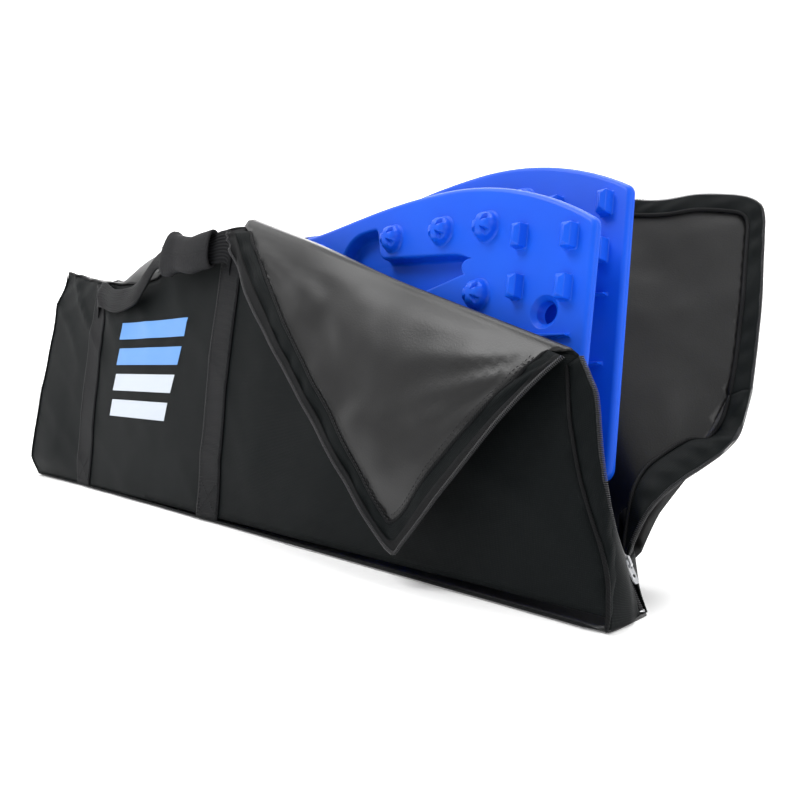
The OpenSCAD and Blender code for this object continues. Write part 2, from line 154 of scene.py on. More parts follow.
def flat_curve(points, count):
    """A smooth curve through (a, b) pairs on a flat sheet."""
    return curve_through([(*p, 0) for p in points], count)


def rough(x, y, size, seed):
    """Smooth noise from -1 to 1 whose lumps are about size across."""
    return noise.noise(Vector((x / size, y / size, seed)))


def creases(x, y, angle, length, width, seed):
    """Long soft ridges that run at an angle, from 0 to 1 in height."""
    c, s = math.cos(angle), math.sin(angle)
    along_it = (x * c + y * s) / length
    across = (-x * s + y * c) / width
    return (1 - abs(noise.noise(Vector((along_it, across, seed))))) ** 4


# ---------- meshes ----------

def mesh_object(name, points, faces, materials, uvs=None):
    mesh = bpy.data.meshes.new(name)
    mesh.from_pydata([Vector(p) * MM for p in points], [], faces)
    if uvs is not None:
        layer = mesh.uv_layers.new(name=CLOTH_UV)
        for loop in mesh.loops:
            layer.data[loop.index].uv = Vector(uvs[loop.vertex_index]) * MM
    for material in materials:
        mesh.materials.append(material)
    mesh.shade_smooth()
    obj = bpy.data.objects.new(name, mesh)
    bpy.context.scene.collection.objects.link(obj)
    return obj


def thicken(obj, thickness, two_sided=False, offset=-1.0):
    """Gives a sheet its thickness in mm; a two-sided one shows its second material behind."""
    solid = obj.modifiers.new("thickness", "SOLIDIFY")
    solid.thickness = thickness * MM
    solid.offset = offset
    solid.use_even_offset = False
    if two_sided:
        solid.material_offset = 1
    return obj


def distance_to_outline(p, outline):
    near = 1e9
    for a, b in zip(outline, outline[1:] + outline[:1]):
        _, share = geometry.intersect_point_line(p, a, b)
        share = min(1.0, max(0.0, share))
        near = min(near, (p - a.lerp(b, share)).length)
    return near


def inside(p, outline):
    odd = False
    for a, b in zip(outline, outline[1:] + outline[:1]):
        if (a.y > p.y) != (b.y > p.y) and p.x < a.x + (p.y - a.y) * (b.x - a.x) / (b.y - a.y):
            odd = not odd
    return odd


def patch(name, outline, spacing, place, materials, flip=False):
    """A sheet cut to a flat outline, filled with even triangles and laid by place(a, b)."""
    corners = [Vector(p) for p in outline]
    rim = []
    for a, b in zip(corners, corners[1:] + corners[:1]):
        steps = max(1, round((b - a).length / spacing))
        rim += [a.lerp(b, k / steps) for k in range(steps)]
    edges = [(k, (k + 1) % len(rim)) for k in range(len(rim))]
    low = Vector((min(p.x for p in rim), min(p.y for p in rim)))
    high = Vector((max(p.x for p in rim), max(p.y for p in rim)))
    row_gap = spacing * 0.866
    points = list(rim)
    for j in range(int((high.y - low.y) / row_gap) + 1):
        for i in range(int((high.x - low.x) / spacing) + 2):
            p = Vector((low.x + (i + 0.5 * (j % 2)) * spacing, low.y + j * row_gap))
            if inside(p, corners) and distance_to_outline(p, corners) > 0.45 * spacing:
                points.append(p)
    flat, _, faces, _, _, _ = geometry.delaunay_2d_cdt(points, edges, [], 1, 1e-4)
    faces = [list(reversed(f)) if flip else list(f) for f in faces]
    return mesh_object(name, [place(p.x, p.y) for p in flat], faces, materials, flat)


def loft(name, rows, materials, flip=False, closed=False):
    """A sheet through rows of points, all of one length; closed rows join end to end."""
    count = len(rows[0])
    points = [p for row in rows for p in row]
    uvs = []
    across = 0.0
    for j, row in enumerate(rows):
        if j:
            across += (Vector(row[count // 2]) - Vector(rows[j - 1][count // 2])).length
        run = 0.0
        for i, p in enumerate(row):
            if i:
                run += (Vector(p) - Vector(row[i - 1])).length
            uvs.append((run, across))
    faces = []
    for j in range(len(rows) - 1):
        for i in range(count if closed else count - 1):
            k = (i + 1) % count
            face = [j * count + i, j * count + k, (j + 1) * count + k, (j + 1) * count + i]
            faces.append(list(reversed(face)) if flip else face)
    return mesh_object(name, points, faces, materials, uvs)


def between(row_a, row_b, steps, lift=None):
    """Rows from row_a to row_b; lift(i share, j share) adds a vector to each point."""
    rows = []
    for j in range(steps + 1):
        share = j / steps
        row = [Vector(a).lerp(Vector(b), share) for a, b in zip(row_a, row_b)]
        if lift:
            row = [p + lift(i / (len(row) - 1), share) for i, p in enumerate(row)]
        rows.append(row)
    return rows


def frames_along(points):
    """Two directions across a line at each of its points, without twist."""
    made = []
    side = None
    for k in range(len(points)):
        ahead = (points[min(k + 1, len(points) - 1)] - points[max(k - 1, 0)]).normalized()
        if side is None:
            side = ahead.orthogonal().normalized()
        side = (side - ahead * side.dot(ahead)).normalized()
        made.append((side.copy(), ahead.cross(side)))
    return made


def tube(name, points, radius, material, sides=8):
    """A round cord along a line; its ends are drawn in."""
    pts = [Vector(p) for p in points]
    rows = []
    last = len(pts) - 1
    for k, (p, (a, b)) in enumerate(zip(pts, frames_along(pts))):
        r = radius * (0.35 if k in (0, last) else 1.0)
        rows.append([p + (a * math.cos(t) + b * math.sin(t)) * r
                     for t in (2 * math.pi * s / sides for s in range(sides))])
    return loft(name, rows, [material], closed=True)


def zip_coil(name, points, material, width=3.4, height=1.7, pitch=1.5, up=None):
    """Nylon coil of a zipper: a flattened helix of thick thread along a line, its face towards up."""
    turns = int(line_length(points) / pitch)
    steps = 6
    line = resampled(points, turns * steps + 1)
    across = frames_along(line)
    centre = []
    for k, (p, (a, b)) in enumerate(zip(line, across)):
        if up is not None:
            b = up.normalized()
            ahead = (line[min(k + 1, len(line) - 1)] - line[max(k - 1, 0)]).normalized()
            a = ahead.cross(b).normalized()
        t = 2 * math.pi * k / steps
        centre.append(p + a * (math.cos(t) * width / 2) + b * (math.sin(t) * height / 2))
    return tube(name, centre, 0.45, material, sides=5)


def stitches(name, lines, material, pitch=4.0, length=2.6, radius=0.38):
    """Rows of short raised stitches; each line is a list of points."""
    points, faces = [], []
    for line in lines:
        count = max(2, int(line_length(line) / pitch))
        marks = resampled(line, count + 1)
        for a, b in zip(marks, marks[1:]):
            ahead = (b - a).normalized()
            mid = (a + b) / 2
            side = ahead.orthogonal().normalized()
            up = ahead.cross(side)
            start = len(points)
            for shift, r in ((-0.5, 0.3), (-0.25, 1.0), (0.25, 1.0), (0.5, 0.3)):
                for s in range(5):
                    t = 2 * math.pi * s / 5
                    out = (side * math.cos(t) + up * math.sin(t)) * radius * r
                    points.append(mid + ahead * shift * length + out)
            for j in range(3):
                for s in range(5):
                    k = (s + 1) % 5
                    faces.append((start + j * 5 + s, start + j * 5 + k,
                                  start + j * 5 + 5 + k, start + j * 5 + 5 + s))
            faces.append([start + s for s in (4, 3, 2, 1, 0)])
            faces.append([start + 15 + s for s in range(5)])
    return mesh_object(name, points, faces, [material])


# ---------- materials ----------

def new_material(name, color, roughness, **inputs):
    material = bpy.data.materials.new(name)
    material.use_nodes = True
    shader = material.node_tree.nodes["Principled BSDF"]
    shader.inputs["Base Color"].default_value = (*color, 1)
    shader.inputs["Roughness"].default_value = roughness
    for key, value in inputs.items():
        shader.inputs[key.replace("_", " ")].default_value = value
    return material


def add(material, kind, **settings):
    node = material.node_tree.nodes.new(kind)
    for key, value in settings.items():
        setattr(node, key, value)
    return node


def wire(material, a, b):
    material.node_tree.links.new(a, b)


def coordinates(material, cloth):
    """Cloth patterns follow the sheet's own map; others follow the object."""
    if cloth:
        return add(material, "ShaderNodeUVMap", uv_map=CLOTH_UV).outputs["UV"]
    return add(material, "ShaderNodeTexCoord").outputs["Object"]


def noise_texture(material, source, scale, detail=3.0):
    texture = add(material, "ShaderNodeTexNoise")
    texture.inputs["Scale"].default_value = scale
    texture.inputs["Detail"].default_value = detail
    wire(material, source, texture.inputs["Vector"])
    return texture.outputs["Fac"]


def wave_texture(material, source, direction, scale, distortion=0.4):
    texture = add(material, "ShaderNodeTexWave", bands_direction=direction)
    texture.inputs["Scale"].default_value = scale
    texture.inputs["Distortion"].default_value = distortion
    texture.inputs["Detail Scale"].default_value = 2.0
    wire(material, source, texture.inputs["Vector"])
    return texture.outputs["Fac"]


def combine(material, a, b, operation):
    node = add(material, "ShaderNodeMath", operation=operation)
    for socket, value in zip(node.inputs, (a, b)):
        if isinstance(value, (int, float)):
            socket.default_value = value
        else:
            wire(material, value, socket)
    return node.outputs["Value"]


def vary(material, fac, dark, light):
    """Base colour between two shades."""
    ramp = add(material, "ShaderNodeMix", data_type="RGBA")
    ramp.inputs[6].default_value = (*dark, 1)
    ramp.inputs[7].default_value = (*light, 1)
    wire(material, fac, ramp.inputs["Factor"])
    wire(material, ramp.outputs[2], material.node_tree.nodes["Principled BSDF"].inputs["Base Color"])


def bump(material, heights, distance):
    """Surface relief from (height, strength) pairs, one over the other."""
    last = None
    for height, strength in heights:
        node = add(material, "ShaderNodeBump")
        node.inputs["Strength"].default_value = strength
        node.inputs["Distance"].default_value = distance
        wire(material, height, node.inputs["Height"])
        if last is not None:
            wire(material, last, node.inputs["Normal"])
        last = node.outputs["Normal"]
    wire(material, last, material.node_tree.nodes["Principled BSDF"].inputs["Normal"])


def make_plastic():
    m = new_material("board_plastic", (0.003, 0.09, 0.70), 0.4, Specular_IOR_Level=0.24)
    source = coordinates(m, False)
    grain = noise_texture(m, source, 900, 2)
    broad = noise_texture(m, source, 14, 2)
    vary(m, broad, (0.002, 0.072, 0.62), (0.004, 0.102, 0.74))
    bump(m, [(grain, 0.12), (broad, 0.05)], 0.0006)
    return m


def make_weave():
    m = new_material("woven_shell", (0.005, 0.006, 0.007), 0.6, Specular_IOR_Level=0.08)
    source = coordinates(m, True)
    warp = wave_texture(m, source, "X", 210)
    weft = wave_texture(m, source, "Y", 210)
    cloth = combine(m, warp, weft, "MULTIPLY")
    broad = noise_texture(m, source, 9, 4)
    vary(m, combine(m, cloth, broad, "MULTIPLY"), (0.002, 0.003, 0.0033), (0.009, 0.0125, 0.0135))
    bump(m, [(cloth, 0.35), (broad, 0.15)], 0.0006)
    return m


def make_lining():
    m = new_material("coated_lining", (0.012, 0.012, 0.012), 0.36, Specular_IOR_Level=0.36)
    source = coordinates(m, True)
    broad = noise_texture(m, source, 11, 4)
    fine = noise_texture(m, source, 600, 2)
    vary(m, broad, (0.007, 0.007, 0.0072), (0.016, 0.016, 0.0165))
    bump(m, [(fine, 0.12), (broad, 0.3)], 0.001)
    return m


def make_webbing():
    m = new_material("webbing", (0.006, 0.006, 0.007), 0.55, Specular_IOR_Level=0.1)
    source = coordinates(m, True)
    ribs = wave_texture(m, source, "Y", 130, 0.15)
    cross = wave_texture(m, source, "X", 170, 0.2)
    both = combine(m, ribs, combine(m, cross, 0.35, "MULTIPLY"), "ADD")
    vary(m, both, (0.002, 0.002, 0.0024), (0.010, 0.0105, 0.012))
    bump(m, [(both, 0.6)], 0.0008)
    return m


def make_tape():
    m = new_material("zip_tape", (0.005, 0.005, 0.006), 0.6, Specular_IOR_Level=0.1)
    source = coordinates(m, True)
    twill = wave_texture(m, source, "DIAGONAL", 260, 0.1)
    vary(m, twill, (0.0022, 0.0022, 0.003), (0.008, 0.0085, 0.009))
    bump(m, [(twill, 0.4)], 0.0005)
    return m


def make_grip():
    m = new_material("grip_pad", (0.02, 0.02, 0.022), 0.75, Specular_IOR_Level=0.2)
    source = coordinates(m, True)
    fibres = noise_texture(m, source, 420, 5)
    vary(m, fibres, (0.005, 0.005, 0.006), (0.022, 0.022, 0.024))
    bump(m, [(fibres, 0.7)], 0.001)
    return m


def make_print(name, dark, light):
    m = new_material(name, light, 0.5)
    source = coordinates(m, True)
    weave = combine(m, wave_texture(m, source, "X", 210), wave_texture(m, source, "Y", 210),
                    "MULTIPLY")
    vary(m, weave, dark, light)
    bump(m, [(weave, 0.25)], 0.0005)
    return m


def make_metal():
    m = new_material("silver_metal", (0.70, 0.71, 0.73), 0.3, Metallic=1.0)
    source = coordinates(m, False)
    scuffs = noise_texture(m, source, 700, 4)
    vary(m, scuffs, (0.55, 0.56, 0.58), (0.78, 0.79, 0.81))
    bump(m, [(scuffs, 0.08)], 0.0003)
    return m


def make_coil():
    m = new_material("zip_coil", (0.016, 0.016, 0.018), 0.34)
    grain = noise_texture(m, coordinates(m, False), 1500, 2)
    vary(m, grain, (0.010, 0.010, 0.012), (0.030, 0.030, 0.033))
    return m


def make_thread():
    m = new_material("stitching", (0.02, 0.02, 0.022), 0.6, Specular_IOR_Level=0.2)
    twist = noise_texture(m, coordinates(m, False), 2500, 2)
    vary(m, twist, (0.012, 0.012, 0.013), (0.03, 0.03, 0.032))
    return m


PLASTIC = make_plastic()
SHELL = make_weave()
LINING = make_lining()
WEBBING = make_webbing()
TAPE = make_tape()
GRIP = make_grip()
PRINT_WHITE = make_print("print_white", (0.50, 0.55, 0.62), (0.72, 0.77, 0.84))
PRINT_BLUE = make_print("print_ink", (0.10, 0.28, 0.66), (0.16, 0.38, 0.80))
METAL = make_metal()
COIL = make_coil()
THREAD = make_thread()


# ---------- surfaces of the bag ----------

def on_front(x, s, h):
    """Point of the front panel: x along the bag, s up the panel, h outward."""
    return Vector((x, -HALF_BASE + s * math.sin(FRONT_LEAN) - h * math.cos(FRONT_LEAN),
                   s * math.cos(FRONT_LEAN) + h * math.sin(FRONT_LEAN)))


def on_rear(x, s, h):
    """Point of the rear panel, h outward."""
    return Vector((x, HALF_BASE + s * math.sin(REAR_LEAN) + h * math.cos(REAR_LEAN),
                   s * math.cos(REAR_LEAN) - h * math.sin(REAR_LEAN)))


def front_top(x):
    """Distance up the front panel to its top edge."""
    return along(FRONT_TOP, x) / math.cos(FRONT_LEAN)


def rear_top(x):
    return along(REAR_TOP, x) / math.cos(REAR_LEAN)


# how far the slack closed end stands out, by distance up the panel
LEFT_BULGE = [(0, 5), (34, 19), (110, 17), (195, 11), (270, 3), (346, -8)]


def front_bulge(x, s):
    """How far the slack front panel stands out of its plane."""
    slack = 1 - smooth(x, -555, -300)
    loose = 1 - smooth(x, -330, -60)
    wide = along(LEFT_BULGE, s) * slack ** 1.5
    middle = 5 * math.sin(math.pi * min(1, max(0, s / 340))) * smooth(x, -555, -300)
    fade = 0.72 + 0.28 * smooth(s, 2, 60)
    top = smooth(s, 150, 320)
    folds = creases(x, s, math.radians(-38), 240, 60, 1.3) * 5.0 * loose * (0.2 + 0.8 * top)
    cross = creases(x, s, math.radians(20), 200, 64, 7.9) * 3.0 * loose * top
    ripples = creases(x, s, math.radians(-30), 260, 90, 3.1) * 2.0 * (1 - 0.5 * loose)
    small = rough(x, s, 40, 5.0) * 0.5 + rough(x, s, 90, 8.0) * 1.4
    return wide + (middle + folds + cross + ripples + small) * fade


def front_point(x, s, lift=0.0):
    return on_front(x, s, SHELL_T + front_bulge(x, s) + lift)


def rear_bulge(x, s):
    loose = 1 - smooth(x, -330, 0)
    fade = smooth(s, 2, 40)
    middle = 5 * math.sin(math.pi * min(1, max(0, s / 360)))
    folds = creases(x, s, math.radians(32), 180, 48, 11.3) * 6.0 * loose * smooth(s, 120, 320)
    ripples = creases(x, s, math.radians(70), 160, 60, 13.1) * 2.0
    small = rough(x, s, 28, 15.0) * 0.7 + rough(x, s, 80, 18.0) * 1.5
    return (middle + folds + ripples + small) * fade


def crease_axes(crease):
    ahead = (crease[1] - crease[0]).normalized()
    return ahead, Vector((-ahead.y, ahead.x))


REAR_AHEAD, REAR_AWAY = crease_axes(REAR_CREASE)
FRONT_CREASE_LEN = (FRONT_CREASE[1] - FRONT_CREASE[0]).length


def crease_point(crease, u, w):
    ahead, away = crease_axes(crease)
    return crease[0] + ahead * u + away * w


# length of cloth in the rounded fold of the front corner, and how far the corner runs along its fold
ROLL = 26.0
FOLD_END = 475


def roll_radius(u):
    """Radius of the front corner's rounded fold, tighter towards the open end."""
    return 9.0 - 6.0 * smooth(u, 110, 290)


def flap_point(u, q, lift=0.0):
    """Point of the folded front corner: u along the crease, q beyond it. q from -ROLL to 0 is the
    rounded fold itself; lift raises the point off the lining."""
    r = roll_radius(u)
    if q < 0:
        turn = math.pi * (1 + q / ROLL)
        w = (r + lift) * math.sin(turn)
        h = r - (r + lift) * math.cos(turn)
        base = crease_point(FRONT_CREASE, u, 0)
        p = crease_point(FRONT_CREASE, u, w)
        hold = front_bulge(base.x, base.y) * (1 - smooth(q, -ROLL, 0))
        return on_front(p.x, p.y, SHELL_T + hold + h)
    near_end = smooth(u, 300, 450)
    stand = 37.0 - 6.0 * near_end
    h = 2 * r + (stand - 2 * r) * (1 - math.exp(-q / 42))
    droop = 4.0 * smooth(q, 120, 210)
    from_left = math.atan2(q, u + 25)
    from_right = math.atan2(q, FOLD_END - u)
    fan = 2.2 * math.sin(from_left * 34 + 1.0) * math.exp(-u / 170)
    fan += 1.8 * math.sin(from_right * 22) * math.exp(-(FOLD_END - u) / 120)
    soft = rough(u, q, 60, 21.0) * 2.4 + rough(u, q, 24, 23.0) * 0.6
    wave = (fan + soft) * smooth(q, 0, 30)
    p = crease_point(FRONT_CREASE, u, -0.985 * q)
    return on_front(p.x, p.y, SHELL_T + h - droop + wave + lift)


def on_flap(p, lift):
    """Point over the folded front corner, kept off its rounded fold."""
    return flap_point(p.x, max(p.y, 0), lift)


# half the width of the rear corner's crease, beyond which its v is counted
CREASE_GAP = 3
# stretch across the rear crease over which the cloth turns outward
BEND_START, BEND_END = -32.0, 21.0


def bent(w):
    """Place and outward height on the rear sheet at a distance w past its crease."""
    place, height = min(w, BEND_START), 0.0
    steps = 12
    far = min(w, BEND_END)
    if far > BEND_START:
        step = (far - BEND_START) / steps
        for k in range(steps):
            turn = REAR_FOLD * smooth(BEND_START + (k + 0.5) * step, BEND_START, BEND_END)
            place += math.cos(turn) * step
            height += math.sin(turn) * step
    if w > BEND_END:
        place += math.cos(REAR_FOLD) * (w - BEND_END)
        height += math.sin(REAR_FOLD) * (w - BEND_END)
    return place, height


def rear_sheet(x, s, lift=0.0):
    """Point of the rear panel and its outward-falling corner, from its flat place."""
    d = Vector((x, s)) - REAR_CREASE[0]
    u = d.dot(REAR_AHEAD)
    w = d.dot(REAR_AWAY)
    place, height = bent(w)
    p = crease_point(REAR_CREASE, u, place)
    soft = rough(u, w, 70, 31.0) * 3.0 + rough(u, w, 26, 33.0) * 0.8
    wave = soft * smooth(w, -40, 60)
    keep = 1 - smooth(w, -60, 10)
    turn = REAR_FOLD * smooth(w, BEND_START, BEND_END)
    out = SHELL_T + rear_bulge(x, s) * keep + wave + lift
    p = p + REAR_AWAY * (-math.sin(turn) * out)
    return on_rear(p.x, p.y, height + math.cos(turn) * out)


def rear_flap_point(u, v, lift=0.0):
    """Point of the outward-falling rear corner: u along its crease, v beyond the crease's edge."""
    flat = crease_point(REAR_CREASE, u, v + CREASE_GAP)
    return rear_sheet(flat.x, flat.y, lift)


def metres(p):
    return Vector(p) * MM


def settle(obj, body, slot_name, *nodes):
    """Rides a piece on its body and hides the CAD nodes that it stands for; its slot name is not used.
    """
    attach(obj, body)
    if nodes:
        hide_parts(*nodes)


# ---------- front panel ----------

# seam of the open end on the front panel, from the crease down to the base, and its zipper line
FRONT_EDGE = flat_curve([(509, 184), (514, 157), (520, 131), (528, 103), (538, 79), (548, 58),
                         (555, 37), (557, 14), (556, 2)], 60)
FRONT_SEAM = [front_point(p.x, p.y, -0.8) for p in FRONT_EDGE]
FRONT_TEETH = curve_through([(521, -50, 190), (531, -53, 174), (538, -55, 160), (543, -57, 125),
                             (548, -57, 95), (550, -51, 70), (547, -38, 53), (541, -24, 44),
                             (537, -15, 40), (535, -13, 39)], 60)

# seam line and zipper line round the folded corner, as (u, q)
FLAP_INNER = flat_curve([(14, 3), (110, 52), (200, 99), (300, 148), (366, 182), (380, 184),
                         (392, 165), (405, 122), (432, 59), (456, 3)], 150)
FLAP_OUTER = flat_curve([(-22, 14), (60, 59), (200, 124), (320, 178), (388, 205), (404, 188),
                         (432, 119), (455, 56), (474, 3)], 150)


def build_front():
    outline = ([(END_X, 1)] + [(p.x, p.y) for p in reversed(FRONT_EDGE[::4])]
               + [tuple(FRONT_CREASE[1]), tuple(FRONT_CREASE[0])]
               + [(x, front_top(x)) for x in range(60, -555, -15)] + [(END_X, front_top(END_X))])
    panel = patch("front_panel_cloth", outline, 9, front_point, [SHELL, LINING])
    thicken(panel, CLOTH_T, two_sided=True)
    settle(panel, "bag", "woven_shell", "front_panel", "front_lining")


def build_front_flap():
    outline = [(-4, -ROLL), (FRONT_CREASE_LEN, -ROLL), (468, 0), (460, 3), (434, 60), (408, 123),
               (394, 166), (381, 188), (354, 178), (196, 101), (10, 4), (-4, 0)]
    sheet = patch("front_corner_cloth", outline, 7, flap_point, [SHELL, LINING])
    thicken(sheet, CLOTH_T, two_sided=True)
    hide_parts("front_flap_panel", "front_flap_lining")
    low = on_front(300, 270, 10)
    high = on_front(300, 270, 21)
    metres(low)
    metres(high)
    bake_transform(sheet)

    rows = []
    for j in range(9):
        share = j / 8
        step = 1.4 + 1.6 * smooth(share, 0, 0.2) + 1.5 * share
        row = []
        for i, (a, b) in enumerate(zip(FLAP_INNER, FLAP_OUTER)):
            ripple = 0.7 * math.sin(i * 0.62 + 2 * math.sin(i * 0.13)) * math.sin(math.pi * share)
            row.append(on_flap(a.lerp(b, share), step + ripple))
        rows.append(row)
    band = thicken(loft("front_corner_band", rows, [SHELL]), 1.2, offset=0)
    settle(band, "front_flap", "woven_shell", "front_flap_gusset")
    length = line_length(FLAP_OUTER)

    rib = tube("front_corner_seam", [on_flap(p, 1.6) for p in FLAP_INNER], 2.0, TAPE)
    settle(rib, "front_flap", "zip_tape")

    tape_inner = [a.lerp(b, 0.62) for a, b in zip(FLAP_INNER, FLAP_OUTER)]
    tape_rows = [[on_flap(a.lerp(b, j / 3), 5.4 + 0.2 * j) for a, b in zip(tape_inner, FLAP_OUTER)]
                 for j in range(4)]
    tape = thicken(loft("front_corner_tape", tape_rows, [TAPE]), TAPE_T, offset=0)
    settle(tape, "front_flap", "zip_tape")
    coil = zip_coil("front_corner_teeth", tape_rows[-1], COIL, up=Vector((0, -1, 0.13)))
    settle(coil, "front_flap", "zip_coil", "front_flap_teeth")

    lines = []
    for inset in (2.34, 5.4):
        lines.append([on_flap(a + (a - b).normalized() * inset, 3.4)
                      for a, b in zip(FLAP_INNER[2:-2], FLAP_OUTER[2:-2])])
    thread = stitches("front_corner_stitching", lines, THREAD)
    settle(thread, "front_flap", "webbing")


def build_mouth_front():
    """The zipped gusset strip down the front side of the open end."""
    def belly(i, j):
        out = 5.0 * math.sin(math.pi * j) * (0.3 + 0.7 * smooth(i, 0.1, 0.8))
        ripple = 1.0 * math.sin(i * 60) * math.sin(math.pi * j)
        return Vector((0.6 * (out + ripple), -0.8 * (out + ripple), 0))

    rows = between(FRONT_SEAM, FRONT_TEETH, 8, belly)
    band = thicken(loft("mouth_band_front", rows, [SHELL]), 1.4, offset=0)
    settle(band, "bag", "woven_shell")
    length = line_length(FRONT_TEETH)
    rib = tube("mouth_seam_front", [p + Vector((0.5, -1.6, 0)) for p in FRONT_SEAM], 1.7, TAPE)
    settle(rib, "bag", "zip_tape")
    coil = zip_coil("mouth_teeth_front", FRONT_TEETH, COIL, up=Vector((0.8, -0.6, 0)))
    settle(coil, "bag", "zip_coil")


# ---------- rear panel ----------

# low zipper line of the rear side, from the slider up towards the corner
REAR_TEETH_LOW = curve_through([(535, -11, 39), (538, -8, 50), (540, -1, 63), (542, 8, 74),
                                (543, 26, 84), (545, 49, 93), (547, 77, 101), (549, 112, 112),
                                (551, 142, 126)], 60)

# seam line and zipper line round the rear corner, as (u, v) from the closed top to the low band
REAR_INNER = flat_curve([(10, 3), (92, 122), (113, 182), (127, 210), (136, 217), (147, 214),
                         (170, 199), (219, 166), (262, 136), (300, 106)], 110)
REAR_OUTER = flat_curve([(-4, 22), (78, 132), (97, 191), (113, 226), (129, 237), (144, 233),
                         (162, 222), (216, 187), (260, 157), (302, 126)], 110)


def build_rear():
    under_band = [a.lerp(b, 0.3) for a, b in zip(REAR_INNER, REAR_OUTER)]
    outline = ([(END_X, 1), (PINCH_X, 1), (500, 26)]
               + [tuple(crease_point(REAR_CREASE, 372, 4)), tuple(crease_point(REAR_CREASE, 345, 55))]
               + [tuple(crease_point(REAR_CREASE, p.x, p.y + CREASE_GAP))
                  for p in reversed(under_band[1::3])]
               + [(x, rear_top(x)) for x in range(285, -555, -20)] + [(END_X, rear_top(END_X))])
    panel = patch("rear_panel_cloth", outline, 9, rear_sheet, [SHELL, LINING], flip=True)
    thicken(panel, CLOTH_T, two_sided=True)
    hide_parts("rear_panel", "rear_lining", "rear_flap_panel", "rear_flap_lining")
    start = crease_point(REAR_CREASE, 190, -30)
    end = crease_point(REAR_CREASE, 190, 32)
    metres(on_rear(start.x, start.y, 0))
    metres(on_rear(end.x, end.y, 0))
    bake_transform(panel)

    def ripple(i, j):
        amount = 1.0 + math.sin(i * 95 + 2 * math.sin(i * 21))
        return Vector((0.4 * amount, -0.9 * amount, 0)) * math.sin(math.pi * j)

    inner, outer = rear_seam(), rear_teeth()
    band = thicken(loft("rear_corner_band", between(inner, outer, 8, ripple), [SHELL]), BAND_T,
                   offset=0)
    settle(band, "rear_flap", "woven_shell", "rear_flap_gusset")
    length = line_length(outer)
    rib = tube("rear_corner_seam", [p + Vector((0.3, -0.5, 0)) for p in inner], 2.0, TAPE)
    settle(rib, "rear_flap", "zip_tape")
    coil = zip_coil("rear_corner_teeth", outer, COIL, up=Vector((0.6, -0.8, 0)))
    settle(coil, "rear_flap", "zip_coil", "rear_flap_teeth")


def rear_seam():
    return [rear_flap_point(p.x, p.y, -2.8) for p in REAR_INNER]


def rear_teeth():
    return [rear_flap_point(p.x, p.y, -3.6) for p in REAR_OUTER]


def build_mouth_rear():
    """Low strip that carries the zipper from the slider up to the rear corner."""
    teeth = curve_through(REAR_TEETH_LOW[:-6:6]
                          + [(552, 128, 122), rear_flap_point(327, 103, -3), rear_teeth()[-1]], 70)
    seam = curve_through([(531, -8, 42), (526, 4, 62), (524, 14, 84), (522, 34, 100), (523, 62, 111),
                          (528, 92, 121), rear_flap_point(329, 68, -3), rear_flap_point(319, 87, -3),
                          rear_seam()[-1]], 70)
    back = curve_through([(534, -6, 38), (527, 13, 40), (515, 28, 44), (500, 44, 50), (486, 60, 58),
                          (500, 70, 62), rear_flap_point(352, 36)], 70)

    def sag(i, j):
        return Vector((2.5, 0, -6)) * math.sin(math.pi * j) * math.sin(math.pi * i)

    def belly(i, j):
        ripple = 1.2 * math.sin(i * 55) * math.sin(math.pi * j)
        return Vector((3 + ripple, -1.5 - ripple, 2)) * math.sin(math.pi * j)

    skirt = thicken(loft("mouth_lining_rear", between(back, seam, 10, sag), [SHELL, LINING]), 1.4,
                    two_sided=True)
    band = thicken(loft("mouth_band_rear", between(seam, teeth, 8, belly), [SHELL]), BAND_T, offset=0)
    rib = tube("mouth_seam_rear", [p + Vector((1.0, -1.2, 1.0)) for p in seam], 1.7, TAPE)
    coil = zip_coil("mouth_teeth_rear", teeth, COIL, up=Vector((0.7, -0.5, 0.4)))
    for obj, slot_name in ((skirt, "coated_lining"), (band, "woven_shell"), (rib, "zip_tape"),
                           (coil, "zip_coil")):
        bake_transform(obj)
    length = line_length(teeth)


# ---------- closed top, far end and base ----------

TOP_ACROSS = 24
TOP_MIDDLE = TOP_ACROSS // 2
# columns of the closed top that each gusset strip and each side of the zipper tape take up
TOP_GUSSETS = {"front": (0, 9), "rear": (15, 24)}
TOP_TAPES = {"front": (8, 12), "rear": (12, 16)}
CORNER_LEAN = math.radians(28)
CORNER_TOP_REAR = [(534, -6, 38), (527, 13, 40), (515, 28, 45), (500, 44, 51), (485, 61, 60)]


def top_row(x):
    """Points across the closed top from its front edge to its rear edge."""
    front = front_point(x, front_top(x), -1.0)
    rear = rear_sheet(x, rear_top(x), -1.0)
    slack = 1 - smooth(x, -330, -230)
    over_boards = 32 * smooth(x, -330, -266) * (1 - smooth(x, -190, -110))
    sag = 3 - 10 * slack - 11 * smooth(x, -20, 56)
    row = []
    for k in range(TOP_ACROSS + 1):
        share = k / TOP_ACROSS
        arch = math.sin(math.pi * share)
        ripple = (rough(x, share * 120, 30, 41.0) * 2.4 * slack
                  + rough(x, share * 120, 60, 43.0) * 1.4)
        rise = (sag + ripple) * arch + over_boards * abs(arch) ** 0.5
        row.append(front.lerp(rear, share) + Vector((0, 0, rise)))
    return row


